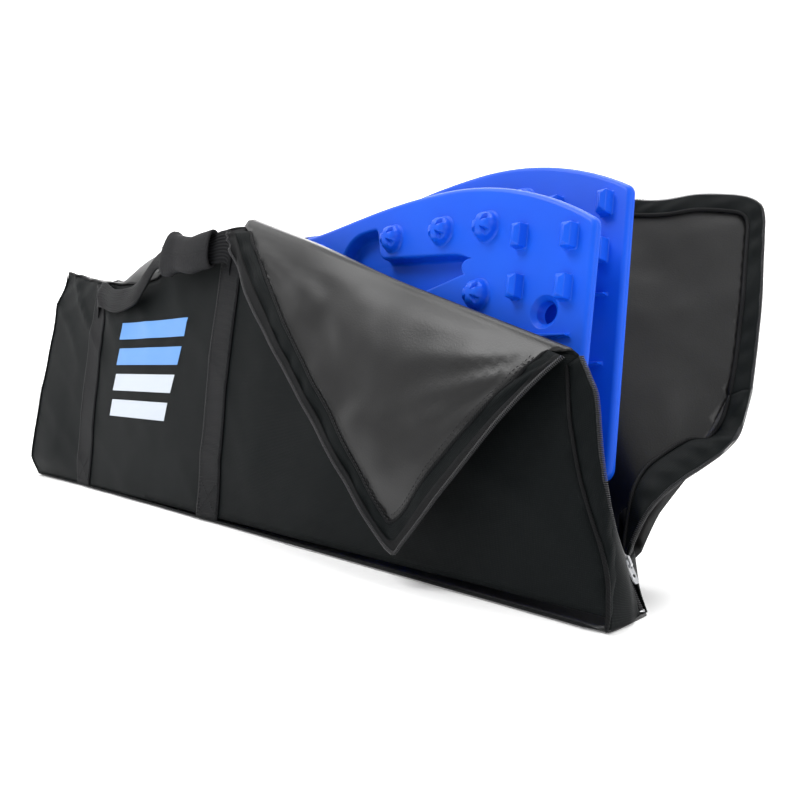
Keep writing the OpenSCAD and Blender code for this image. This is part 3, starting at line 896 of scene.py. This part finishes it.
def build_top():
    rows = [top_row(ZIP_OPEN_X - k * (ZIP_OPEN_X - END_X) / 90) for k in range(91)]
    for side, (first, last) in TOP_GUSSETS.items():
        part = loft(f"top_gusset_cloth_{side}", [row[first:last + 1] for row in rows],
                    [SHELL, LINING], flip=True)
        thicken(part, 1.5, two_sided=True)
        settle(part, "bag", "woven_shell", f"top_gusset_{side}")
    for side, (first, last) in TOP_TAPES.items():
        strip = [[p + Vector((0, 0, 0.9)) for p in row[first:last + 1]] for row in rows]
        tape = thicken(loft(f"top_tape_{side}", strip, [TAPE], flip=True), TAPE_T, offset=1)
        settle(tape, "bag", "zip_tape", "top_tape")
    middle = [row[TOP_MIDDLE] + Vector((0, 0, 2.6)) for row in rows]
    coil = zip_coil("top_coil", middle, COIL, width=4.2, height=2.0, up=Vector((0, 0, 1)))
    settle(coil, "bag", "zip_coil", "top_zip_chain")
    stop = tube("top_stop", [middle[0] + Vector(p) for p in
                             ((-3, -3.2, 0.4), (-3, 0, 1.2), (-3, 3.2, 0.4))], 1.5, METAL)
    settle(stop, "bag", "silver_metal", "top_zip_stop")


def build_far_end():
    """Closed end of the bag, slack between the two panels."""
    rows = []
    for j in range(35):
        share = j / 34
        a = front_point(END_X, 2 + share * (front_top(END_X) - 2), -0.8)
        b = rear_sheet(END_X, 2 + share * (rear_top(END_X) - 2), -0.8)
        row = []
        for k in range(17):
            t = k / 16
            out = 9 * math.sin(math.pi * min(1, share * 1.15))
            out += creases(t * 150, share * 340, math.radians(55), 120, 36, 51.0) * 5
            row.append(a.lerp(b, t) - Vector((out * math.sin(math.pi * t), 0, 0)))
        rows.append(row)
    end = loft("end_cloth", rows, [SHELL, LINING], flip=True)
    thicken(end, CLOTH_T, two_sided=True)
    settle(end, "bag", "woven_shell", "end_gusset", "end_gusset_lining")


def build_base():
    half = HALF_BASE + 0.8
    outline = [(END_X, -half), (MOUTH_X, -half), (MOUTH_X - 5, CHAIN_Y + 2), (PINCH_X, half),
               (END_X, half)]

    def place(x, y):
        lip = 1.2 * smooth(abs(y), half - 14, half)
        return Vector((x, y, 1.8 + lip + 0.3 * rough(x, y, 40, 61.0)))

    base = patch("base_cloth", outline, 12, place, [LINING, SHELL])
    thicken(base, CLOTH_T, two_sided=True)
    settle(base, "bag", "woven_shell", "base_strip", "base_lining")


def build_seams():
    """Bound seams along the edges of the panels."""
    out = Vector((-1, 0, 0))
    lines = {
        "seam_base_front": [front_point(x, 2.4, 1.0) for x in range(-555, 558, 12)],
        "seam_base_rear": [rear_sheet(x, 2.4, 1.0) for x in range(-555, 478, 12)],
        "seam_end_front": [front_point(END_X, s, 0.6) + out for s in range(3, 348, 9)],
        "seam_end_rear": [rear_sheet(END_X, s, 0.6) + out for s in range(3, 330, 9)],
        "seam_top_front": [front_point(x, front_top(x), 0.6) for x in range(58, -555, -9)],
        "seam_top_rear": [rear_sheet(x, rear_top(x), 0.6) for x in range(58, -555, -9)],
    }
    for name, line in lines.items():
        settle(tube(name, line, 1.4, TAPE), "bag", "zip_tape")


def build_low_corner():
    """The short closed piece of the open end, below the slider."""
    count = 16
    first, last = 1 - HALF_BASE, CHAIN_Y - 6
    across = [first + k * (last - first) / count for k in range(count + 1)]
    bottom = [Vector((MOUTH_X - 1 - 5 * smooth(y, -40, last), y, 2)) for y in across]
    top = resampled(FRONT_TEETH[38:57], count + 1)

    def belly(i, j):
        return Vector((3 * math.sin(math.pi * j) * math.sin(math.pi * (0.9 - 0.9 * i)), 0, 0))

    gusset = loft("corner_cloth_front", between(bottom, top, 12, belly), [SHELL])
    thicken(gusset, 1.4, offset=0)
    settle(gusset, "bag", "woven_shell", "corner_gusset_front")
    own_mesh(gusset)

    low_rear = curve_through([(MOUTH_X - 6, CHAIN_Y + 4, 2), (520, 26, 2), (PINCH_X + 4, 62, 2)], 30)
    high_rear = curve_through(CORNER_TOP_REAR, 30)
    rear = thicken(loft("corner_cloth_rear", between(low_rear, high_rear, 12), [SHELL]), 1.4, offset=0)
    settle(rear, "bag", "woven_shell", "corner_gusset_rear")

    foot = Vector((548.9, CHAIN_Y, 4.3))
    rise = Vector((-math.sin(CORNER_LEAN), 0, math.cos(CORNER_LEAN)))
    chain = [foot + rise * k for k in range(29)]
    tape = loft("corner_tape", [[p + Vector((-1.0, dy, -0.5)) for p in chain]
                                for dy in (-7, -4, -1, 1, 4, 7)], [TAPE], flip=True)
    settle(thicken(tape, TAPE_T, offset=0), "bag", "zip_tape")
    coil = zip_coil("corner_coil", chain, COIL, width=4.2, height=2.0, up=Vector((1, 0, 0.5)))
    settle(coil, "bag", "zip_coil", "corner_zip_chain")
    stop = tube("corner_stop", [(549.4, CHAIN_Y - 3, 3.6), (550.9, CHAIN_Y, 4.2),
                                (549.4, CHAIN_Y + 3, 3.6)], 1.1, METAL)
    settle(stop, "bag", "silver_metal", "corner_zip_stop")


# ---------- webbing ----------

WEB_HALF = 24.0
FEET = {"left": -370.0, "right": 10.0}


def leg(side, foot, high, place):
    """Webbing sewn up a panel to the end of a handle, with its rows and crosses of stitching."""
    x = FEET[foot]
    count = 50
    rows = []
    for j in range(9):
        dx = -WEB_HALF + j * WEB_HALF / 4
        edge = 0.35 * smooth(abs(dx), WEB_HALF - 4, WEB_HALF)
        rows.append([place(x + dx, 3 + k * (high - 3) / count, 1.7 - edge) for k in range(count + 1)])
    name = f"leg_{side}_{foot}"
    strap = thicken(loft(name, rows, [WEBBING], flip=side == "front"), 1.5)
    settle(strap, "bag", "webbing", f"webbing_{side}_{foot}")
    lines = []
    for edge in (-1, 1):
        lines.append([place(x + edge * (WEB_HALF - 4), 6 + k * (high - 10) / 40, 1.9)
                      for k in range(41)])
    for low in (high - 46, 10):
        left, right, top = x - WEB_HALF + 6, x + WEB_HALF - 6, low + 38
        for a, b in (((left, low), (right, low)), ((left, top), (right, top)),
                     ((left, low), (right, top)), ((left, top), (right, low))):
            lines.append([place(a[0] + (b[0] - a[0]) * t / 8, a[1] + (b[1] - a[1]) * t / 8, 1.9)
                          for t in range(9)])
    settle(stitches(name + "_stitching", lines, THREAD), "bag", "webbing")


def handle(side, path, place):
    """Strap that hangs beside a panel; path is its middle line as (x, height, stand, width)."""
    middle = curve_through([p[:3] for p in path], 120)
    widths = [(p[0], p[3]) for p in path]
    rows = []
    for j in range(9):
        t = -1 + j / 4
        row = []
        for p in middle:
            ripple = 1.2 * rough(p.x, t * 20, 40, 71.0)
            row.append(place(p.x, p.y + t * along(widths, p.x) / 2, p.z - 1.6 * t * t + ripple))
        rows.append(row)
    strap = loft(f"handle_strap_{side}", rows, [WEBBING], flip=side == "rear")
    thicken(strap, 2.0, offset=0)
    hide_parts(f"handle_{side}")
    length = line_length(middle)
    x, s = path[0][0], path[0][1]
    metres(place(x, s, 3))
    metres(place(x, s, 11))
    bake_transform(strap)
    return middle


def build_webbing():
    for side, top, place in (("front", front_top, front_point), ("rear", rear_top, rear_sheet)):
        for foot, x in FEET.items():
            leg(side, foot, top(x) - 2, place)

    def front_place(x, s, h):
        hold = front_bulge(x, min(s, 330)) * (1 - smooth(h, 4, 16))
        return on_front(x, s, SHELL_T + 1.5 + hold + h)

    def rear_place(x, s, h):
        return on_rear(x, s, SHELL_T + 1.5 + rear_bulge(x, min(s, 340)) * (1 - smooth(h, 4, 16)) + h)

    front_path = [(-372, 280, 1.5, 42), (-366, 291, 4, 42), (-345, 292, 10, 38), (-290, 279, 15, 34),
                  (-225, 283, 17, 30), (-192, 301, 18, 26), (-162, 323, 18, 21),
                  (-124, 325, 19, 24), (-90, 326, 20, 34), (-58, 321, 20, 32), (-28, 324, 17, 34),
                  (-4, 328, 10, 40), (8, 326, 4, 42), (12, 314, 1.5, 42)]
    rear_path = [(-372, 302, 1.5, 44), (-366, 312, 4, 44), (-345, 315, 10, 40), (-290, 309, 15, 38),
                 (-200, 306, 17, 38), (-110, 308, 17, 38), (-40, 314, 15, 38), (-6, 316, 10, 42),
                 (8, 314, 4, 42), (12, 304, 1.5, 42)]
    build_grip(handle("front", front_path, front_place), front_place)
    handle("rear", rear_path, rear_place)


def build_grip(middle, place):
    """Padded sleeve round the strap, its left end curled open and frayed."""
    rows = []
    span = [p for p in middle if -118 < p.x < -14]
    for k, p in enumerate(span):
        share = k / (len(span) - 1)
        curl = 1 - smooth(share, 0.0, 0.3)
        tall = 21 + 5 * curl
        thick = 6.5 + 5 * curl
        row = []
        for s in range(28):
            t = 2 * math.pi * s / 28
            fray = 1 + 0.05 * math.sin(s * 5.3 + k) * curl
            lump = 1 + 0.05 * rough(k * 4, s * 9, 20, 81.0)
            up = math.sin(t) * tall * fray * lump
            out = math.copysign(abs(math.cos(t)) ** 0.7, math.cos(t)) * thick * lump
            slant = 9 * curl * math.sin(t) * (1 - share)
            row.append(place(p.x + slant, p.y + up + 2 * curl, p.z + out + 1))
        rows.append(row)
    sleeve = thicken(loft("grip_sleeve", rows, [GRIP], closed=True), 2.4)
    settle(sleeve, "front_handle", "grip_pad", "grip_wrap")
    build_fray(span[0], place)


def build_fray(end, place):
    """Loose strands round the sleeve's open end, made as one piece."""
    points, faces = [], []
    for n in range(46):
        t = random.uniform(0, 2 * math.pi)
        root = place(end.x + 9 * math.sin(t), end.y + math.sin(t) * 25, end.z + 1 + math.cos(t) * 10)
        out = Vector((-random.uniform(3, 9), random.uniform(-4, 2), random.uniform(-5, 6)))
        tip = root + out + Vector((0, 0, random.uniform(-3, 2)))
        line = curve_through([root + Vector((3, 0, 0)), root, root + out * 0.6, tip], 8)
        strand = tube(f"grip_strand_{n}", line, 0.35, GRIP, sides=4)
        start = len(points)
        points += [v.co / MM for v in strand.data.vertices]
        faces += [[start + i for i in f.vertices] for f in strand.data.polygons]
        bpy.data.objects.remove(strand)
    whole = mesh_object("grip_fray", points, faces, [GRIP], [(p.x, p.z) for p in points])
    settle(whole, "front_handle", "grip_pad")


def build_print():
    """Plain bars between the webbing legs."""
    for row in range(4):
        low = 112 + row * 37
        left = -292 + row * 4
        right = -118 + row * 10
        bar = [(left, low), (right, low), (right + 6, low + 24), (left + 6, low + 24)]
        ink = PRINT_WHITE if row < 2 else PRINT_BLUE
        print_bar = patch(f"print_bar_{row}", bar, 6, lambda x, s: front_point(x, s, 0.4), [ink])
        settle(print_bar, "bag", "print_ink", "printed_emblem")


# ---------- boards ----------

BOARD_LEN = 770.0
HALF_BOARD = BOARD_LEN / 2
FLARE_X = 210.0
SKIN = 7.0
RECESS = 16.0
TRAY = 21.0
SLOT_X = 96.0
STUD_H = 13.0
BOARD_NEAR_X = 502.0
# middle of each board's near end, its lean and its pitch
BOARD_PLACES = {"front": (-21.2, 178, 8.5, 0), "rear": (30.9, 214, 11, 2.9)}

STUDS = [(149, 132), (217, 131), (272, 128), (269, 68), (28, 126), (38, 66)]
LUGS = [(312, 114), (363, 108), (313, 71), (362, 67)]
HOLES = [(343, 49)]
QUARTERS = [(sx, sy) for sx in (1, -1) for sy in (1, -1)]


def half_width(x):
    """Half the board's width at a distance x from its middle."""
    x = abs(x)
    if x >= FLARE_X:
        radius = 331.25
        return 170 - radius + math.sqrt(radius ** 2 - (x - FLARE_X) ** 2)
    rise = max(0.0, 1 - (FLARE_X - x) / (HALF_BOARD - 180)) ** 0.75
    return 152 + 9 * (1 - math.cos(math.pi * rise))


def corner_arc(before, corner, after, radius, steps=7):
    """Arc that rounds the corner between two neighbours."""
    a = (before - corner).normalized()
    b = (after - corner).normalized()
    half = a.angle(b) / 2
    centre = corner + (a + b).normalized() * radius / math.sin(half)
    first = corner + a * radius / math.tan(half) - centre
    turn = math.pi - 2 * half
    if first.x * b.y - first.y * b.x < 0:
        turn = -turn
    made = []
    for k in range(steps + 1):
        t = turn * k / steps
        c, s = math.cos(t), math.sin(t)
        made.append(centre + Vector((first.x * c - first.y * s, first.x * s + first.y * c)))
    return made


def rounded(corners):
    """Outline of (x, y, radius) corners, each made an arc."""
    pts = [Vector(c[:2]) for c in corners]
    made = []
    for k, c in enumerate(corners):
        made += corner_arc(pts[k - 1], pts[k], pts[(k + 1) % len(pts)], c[2])
    return made


def offset(outline, distance):
    """The outline moved outward by distance, counterclockwise outlines only."""
    made = []
    for k, p in enumerate(outline):
        a = (p - outline[k - 1]).normalized()
        b = (outline[(k + 1) % len(outline)] - p).normalized()
        na, nb = Vector((a.y, -a.x)), Vector((b.y, -b.x))
        mid = (na + nb).normalized()
        made.append(p + mid * distance / max(0.5, mid.dot(na)))
    return made


def board_outline():
    places = [HALF_BOARD - 6 - k * (2 * HALF_BOARD - 12) / 90 for k in range(91)]
    side = [Vector((x, half_width(x))) for x in places]
    corner = corner_arc(Vector((HALF_BOARD, 0)), Vector((HALF_BOARD, half_width(HALF_BOARD))),
                        side[2], 11)
    top = corner + [p for p in side if abs(p.x) < HALF_BOARD - 12]
    quarter_turn = [Vector((-p.x, p.y)) for p in reversed(corner)]
    upper = top + quarter_turn
    return upper + [Vector((p.x, -p.y)) for p in reversed(upper)]


def recess_outline():
    upper = [(69, 141, 34), (122, 145, 6), (131, 113, 12), (235, 107, 60), (287, 94, 8),
             (127, 58, 14)]
    loop = rounded(upper + [(x, -y, r) for x, y, r in reversed(upper)])
    return loop if signed_area(loop) > 0 else list(reversed(loop))


def signed_area(loop):
    return sum(a.x * b.y - b.x * a.y for a, b in zip(loop, loop[1:] + loop[:1])) / 2


def circle(x, y, radius, sides=36):
    return [Vector((x + radius * math.cos(2 * math.pi * k / sides),
                    y + radius * math.sin(2 * math.pi * k / sides))) for k in range(sides)]


def slot_outline(x):
    half = 58 - 17
    upper = [Vector((x + 17 * math.cos(t), half + 17 * math.sin(t)))
             for t in (math.pi * k / 14 for k in range(15))]
    lower = [Vector((x - 17 * math.cos(t), -half - 17 * math.sin(t)))
             for t in (math.pi * k / 14 for k in range(15))]
    return upper + lower


def mirrored(loop, sx, sy):
    made = [Vector((p.x * sx, p.y * sy)) for p in loop]
    return made if signed_area(made) > 0 else list(reversed(made))


class Moulding:
    """Points and faces of one moulded part, gathered piece by piece."""

    def __init__(self):
        self.points = []
        self.faces = []

    def ring(self, loop, height):
        start = len(self.points)
        for p in loop:
            z = height(p) if callable(height) else height
            self.points.append(Vector((p.x, p.y, z)))
        return list(range(start, start + len(loop)))

    def wall(self, upper, lower):
        """Quads between two rings of one length; they face outward for counterclockwise rings."""
        for k in range(len(upper)):
            n = (k + 1) % len(upper)
            self.faces.append((upper[k], lower[k], lower[n], upper[n]))

    def walls(self, rings, inward=False):
        for a, b in zip(rings, rings[1:]):
            self.wall(b, a) if inward else self.wall(a, b)

    def plate(self, outer, holes, up=True):
        loops = [outer] + holes
        flat = [[Vector((self.points[i].x, self.points[i].y, 0)) for i in loop] for loop in loops]
        index = [i for loop in loops for i in loop]
        for tri in geometry.tessellate_polygon(flat):
            a, b, c = (self.points[index[k]] for k in tri)
            turn = (b.x - a.x) * (c.y - a.y) - (b.y - a.y) * (c.x - a.x)
            face = [index[k] for k in tri]
            self.faces.append(face if (turn > 0) == up else list(reversed(face)))

    def cap(self, ring, up=True):
        self.faces.append(list(ring) if up else list(reversed(ring)))

    def boss(self, rings):
        """Raised shape through rings from its foot to its closed top."""
        self.walls(list(reversed(rings)))
        self.cap(rings[-1])


def stud_height(r, t):
    """Height of a stud at radius r and angle t, its four pits leaving a raised cross."""
    profile = [(0, STUD_H), (5.2, STUD_H - 0.3), (8.6, STUD_H - 1.9), (10.6, STUD_H - 4.4),
               (12.0, STUD_H * 0.42), (12.6, 2.2), (13.4, 0.6), (14.6, 0)]
    height = profile[-1][1]
    for (r0, h0), (r1, h1) in zip(profile, profile[1:]):
        if r <= r1:
            height = h0 + (h1 - h0) * (r - r0) / (r1 - r0)
            break
    turn = (t - math.pi / 4) % (math.pi / 2)
    turn = min(turn, math.pi / 2 - turn)
    depth_in = r * math.cos(turn) - 3.6
    lateral = r * math.sin(turn)
    wall = depth_in * 0.50 - lateral
    if depth_in > 0 and wall > 0:
        floor = 8.4 - 0.2 * depth_in
        height = min(height, max(floor, height - wall * 4.5))
    return height


def add_stud(part, x, y):
    """Round stud with a raised cross; its rings have vertices enough to carve the pits."""
    sides = 56
    radii = [1.5 * k for k in range(1, 7)] + [9.6, 10.3, 11.0, 11.6, 12.1, 12.6, 13.3, 14.6]
    centre = len(part.points)
    part.points.append(Vector((x, y, STUD_H)))
    last = None
    for r in radii:
        loop = circle(0, 0, r, sides)
        ring = []
        for k, p in enumerate(loop):
            ring.append(len(part.points))
            part.points.append(Vector((x + p.x, y + p.y, stud_height(r, 2 * math.pi * k / sides))))
        if last is None:
            for k in range(sides):
                part.faces.append((centre, ring[k], ring[(k + 1) % sides]))
        else:
            part.wall(last, ring)
        last = ring


def soft_rectangle(x, y, half_x, half_y, radius):
    return rounded([(x + half_x, y - half_y, radius), (x + half_x, y + half_y, radius),
                    (x - half_x, y + half_y, radius), (x - half_x, y - half_y, radius)])


def add_lug(part, x, y):
    layers = [(6.6, 11.1, 0, 2.0), (5.7, 10.2, 0.8, 1.6), (4.9, 9.8, 8.6, 1.2), (4.3, 9.2, 9.7, 1.0),
              (0.7, 5.8, 12.0, 0.4)]
    part.boss([part.ring(soft_rectangle(x, y, hx, hy, r), z) for hx, hy, z, r in layers])


def add_rib(part, x0, x1, y, wide, narrow, low, high):
    """Straight rib along the board, tapered from wide to narrow, between two heights."""
    layers = [(1.0, 0.0), (0.0, 0.15), (-0.25 * narrow, 0.9), (-0.6 * narrow, 1.0)]
    rings = []
    for grow, share in layers:
        loop = [Vector((x0 - grow, y - wide - grow)), Vector((x1 + grow, y - narrow - grow)),
                Vector((x1 + grow, y + narrow + grow)), Vector((x0 - grow, y + wide + grow))]
        if signed_area(loop) < 0:
            loop.reverse()
        rings.append(part.ring(loop, low + (high - low) * share))
    if high > low:
        part.boss(rings)
    else:
        part.walls(rings)
        part.cap(rings[-1], up=False)


def board_part():
    """One board, flat: X along it, Y across it, tread face up at z = 0."""
    part = Moulding()
    outline = board_outline()
    if signed_area(outline) < 0:
        outline.reverse()
    roll = 5.0

    def skirt(p):
        return -SKIN - 9 * (1 - smooth(abs(p.x), FLARE_X - 12, FLARE_X + 4))

    face = []
    for k in range(7):
        t = math.pi / 2 * k / 6
        face.append(part.ring(offset(outline, -roll * (1 - math.sin(t))), -roll * (1 - math.cos(t))))
    foot = part.ring(outline, skirt)
    rim = part.ring(offset(outline, -4.5), skirt)
    back = part.ring(offset(outline, -5.0), -SKIN)
    part.walls(face + [foot, rim, back])

    front_holes, back_holes = [], []
    for sx in (1, -1):
        recess = mirrored(recess_outline(), sx, 1)
        rings = [part.ring(offset(recess, 3.0 * (1 - math.sin(t))), -3.0 * (1 - math.cos(t)))
                 for t in (math.pi / 2 * k / 4 for k in range(5))]
        rings += [part.ring(offset(recess, -1.0), -12.0), part.ring(offset(recess, -2.0), -14.6),
                  part.ring(offset(recess, -4.0), -RECESS)]
        part.walls(rings, inward=True)
        front_holes.append(rings[0])
        slot = mirrored(slot_outline(SLOT_X), sx, 1)
        slot_rings = [part.ring(offset(slot, 1.2), -RECESS), part.ring(slot, -RECESS - 1.2),
                      part.ring(slot, -TRAY)]
        part.walls(slot_rings, inward=True)
        part.plate(rings[-1], [slot_rings[0]])
        tray = [part.ring(offset(recess, 5.0), -SKIN), part.ring(offset(recess, 4.4), -TRAY)]
        part.walls(tray)
        part.plate(tray[-1], [slot_rings[-1]], up=False)
        back_holes.append(tray[0])
    for sx, sy in QUARTERS:
        for x, y in HOLES:
            rings = [part.ring(circle(sx * x, sy * y, r), z) for r, z in
                     ((14.4, 0), (13.6, -0.4), (10.2, -3.6), (9.5, -4.4), (9.5, -SKIN - 7),
                      (14.6, -SKIN - 7), (15, -SKIN))]
            part.walls(rings, inward=True)
            front_holes.append(rings[0])
            back_holes.append(rings[-1])
        for x, y in STUDS:
            add_stud(part, sx * x, sy * y)
        for x, y in LUGS:
            add_lug(part, sx * x, sy * y)
        add_rib(part, sx * 185, sx * 370, sy * 29, 4.5, 0.9, 0, 6)
    for x in (32, -32):
        add_lug(part, x, 0)
    for y in (-96, -32, 32, 96):
        add_rib(part, -59, 59, y, 2.5, 2.3, -SKIN, -16)
    part.plate(face[0], front_holes)
    part.plate(back, back_holes, up=False)
    return part


def build_boards():
    for which, (y, z, lean, pitch) in BOARD_PLACES.items():
        part = board_part()
        stand = (Matrix.Translation((BOARD_NEAR_X, y, z))
                 @ Matrix.Rotation(-math.radians(pitch), 4, "Y")
                 @ Matrix.Rotation(math.radians(90 - lean), 4, "X")
                 @ Matrix.Translation((-HALF_BOARD, 0, 0)))
        board = mesh_object(f"board_{which}_moulding", [stand @ p for p in part.points],
                            part.faces, [PLASTIC])
        board.data.set_sharp_from_angle(angle=math.radians(44))
        board.modifiers.new("shading", "WEIGHTED_NORMAL").keep_sharp = True
        settle(board, f"{which}_board", "board_plastic", f"board_{which}")


# ---------- metal ----------

def build_slider():
    """Shows the hard CAD parts of the slider with softened edges."""
    for node in ("slider_body", "slider_bridge", "pull_tab"):
        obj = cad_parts[node]
        obj.data.materials.clear()
        obj.data.materials.append(METAL)
        weld = obj.modifiers.new("weld", "WELD")
        weld.merge_threshold = 0.02 * MM
        edges = obj.modifiers.new("edges", "BEVEL")
        edges.width = 0.35 * MM
        edges.segments = 2
        edges.limit_method = "ANGLE"
        edges.angle_limit = math.radians(32)
        obj.modifiers.new("shading", "WEIGHTED_NORMAL")


# ---------- stage ----------

def stage_sheet(name, size, color, roughness, glow, **where):
    """Large plain sheet of the set, which gives off a little light of its own."""
    bpy.ops.mesh.primitive_plane_add(size=size, **where)
    sheet = bpy.context.object
    sheet.name = name
    paper = new_material(name, (color, color, color), roughness)
    shader = paper.node_tree.nodes["Principled BSDF"]
    shader.inputs["Emission Color"].default_value = (1, 1, 1, 1)
    shader.inputs["Emission Strength"].default_value = glow
    sheet.data.materials.append(paper)


def area_light(name, place, target, size, power):
    data = bpy.data.lights.new(name, "AREA")
    data.size = size
    data.energy = power
    obj = bpy.data.objects.new(name, data)
    obj.location = place
    obj.rotation_euler = (Vector(target) - Vector(place)).to_track_quat("-Z", "Y").to_euler()
    bpy.context.scene.collection.objects.link(obj)


def build_stage():
    stage_sheet("floor", 40, 0.95, 0.9, 0.14)
    stage_sheet("backdrop", 40, 1.0, 0.5, 1.0, location=(-5, 5, 0),
                rotation=(math.radians(90), 0, math.radians(45)))
    area_light("key", (-0.6, -1.6, 2.6), (0.2, 0, 0.15), 1.2, 55)
    area_light("fill", (2.6, 0.2, 1.3), (0.3, 0, 0.15), 1.4, 16)
    area_light("top", (0.3, 0.5, 2.6), (0.1, 0, 0.1), 1.6, 45)
    area_light("back", (-1.8, 2.4, 1.8), (0, 0, 0.2), 2.0, 40)

    world = bpy.data.worlds.new("studio")
    world.use_nodes = True
    world.node_tree.nodes["Background"].inputs["Color"].default_value = (1, 1, 1, 1)
    world.node_tree.nodes["Background"].inputs["Strength"].default_value = 0.55
    bpy.context.scene.world = world
    bpy.context.scene.view_settings.view_transform = "Standard"


def build_camera():
    data = bpy.data.cameras.new("camera")
    data.lens = 36
    data.sensor_width = 36
    camera = bpy.data.objects.new("camera", data)
    camera.location = (0.8576, -0.5332, 0.1814)
    turn, dip = math.radians(42.4), math.radians(2.3)
    ahead = Vector((-math.cos(turn) * math.cos(dip), math.sin(turn) * math.cos(dip),
                    -math.sin(dip)))
    camera.rotation_euler = ahead.to_track_quat("-Z", "Y").to_euler()
    bpy.context.scene.collection.objects.link(camera)
    bpy.context.scene.camera = camera


build_front()
build_front_flap()
build_mouth_front()
build_rear()
build_mouth_rear()
build_top()
build_far_end()
build_base()
build_seams()
build_low_corner()
build_webbing()
build_print()
build_boards()
build_slider()
build_stage()
build_camera()
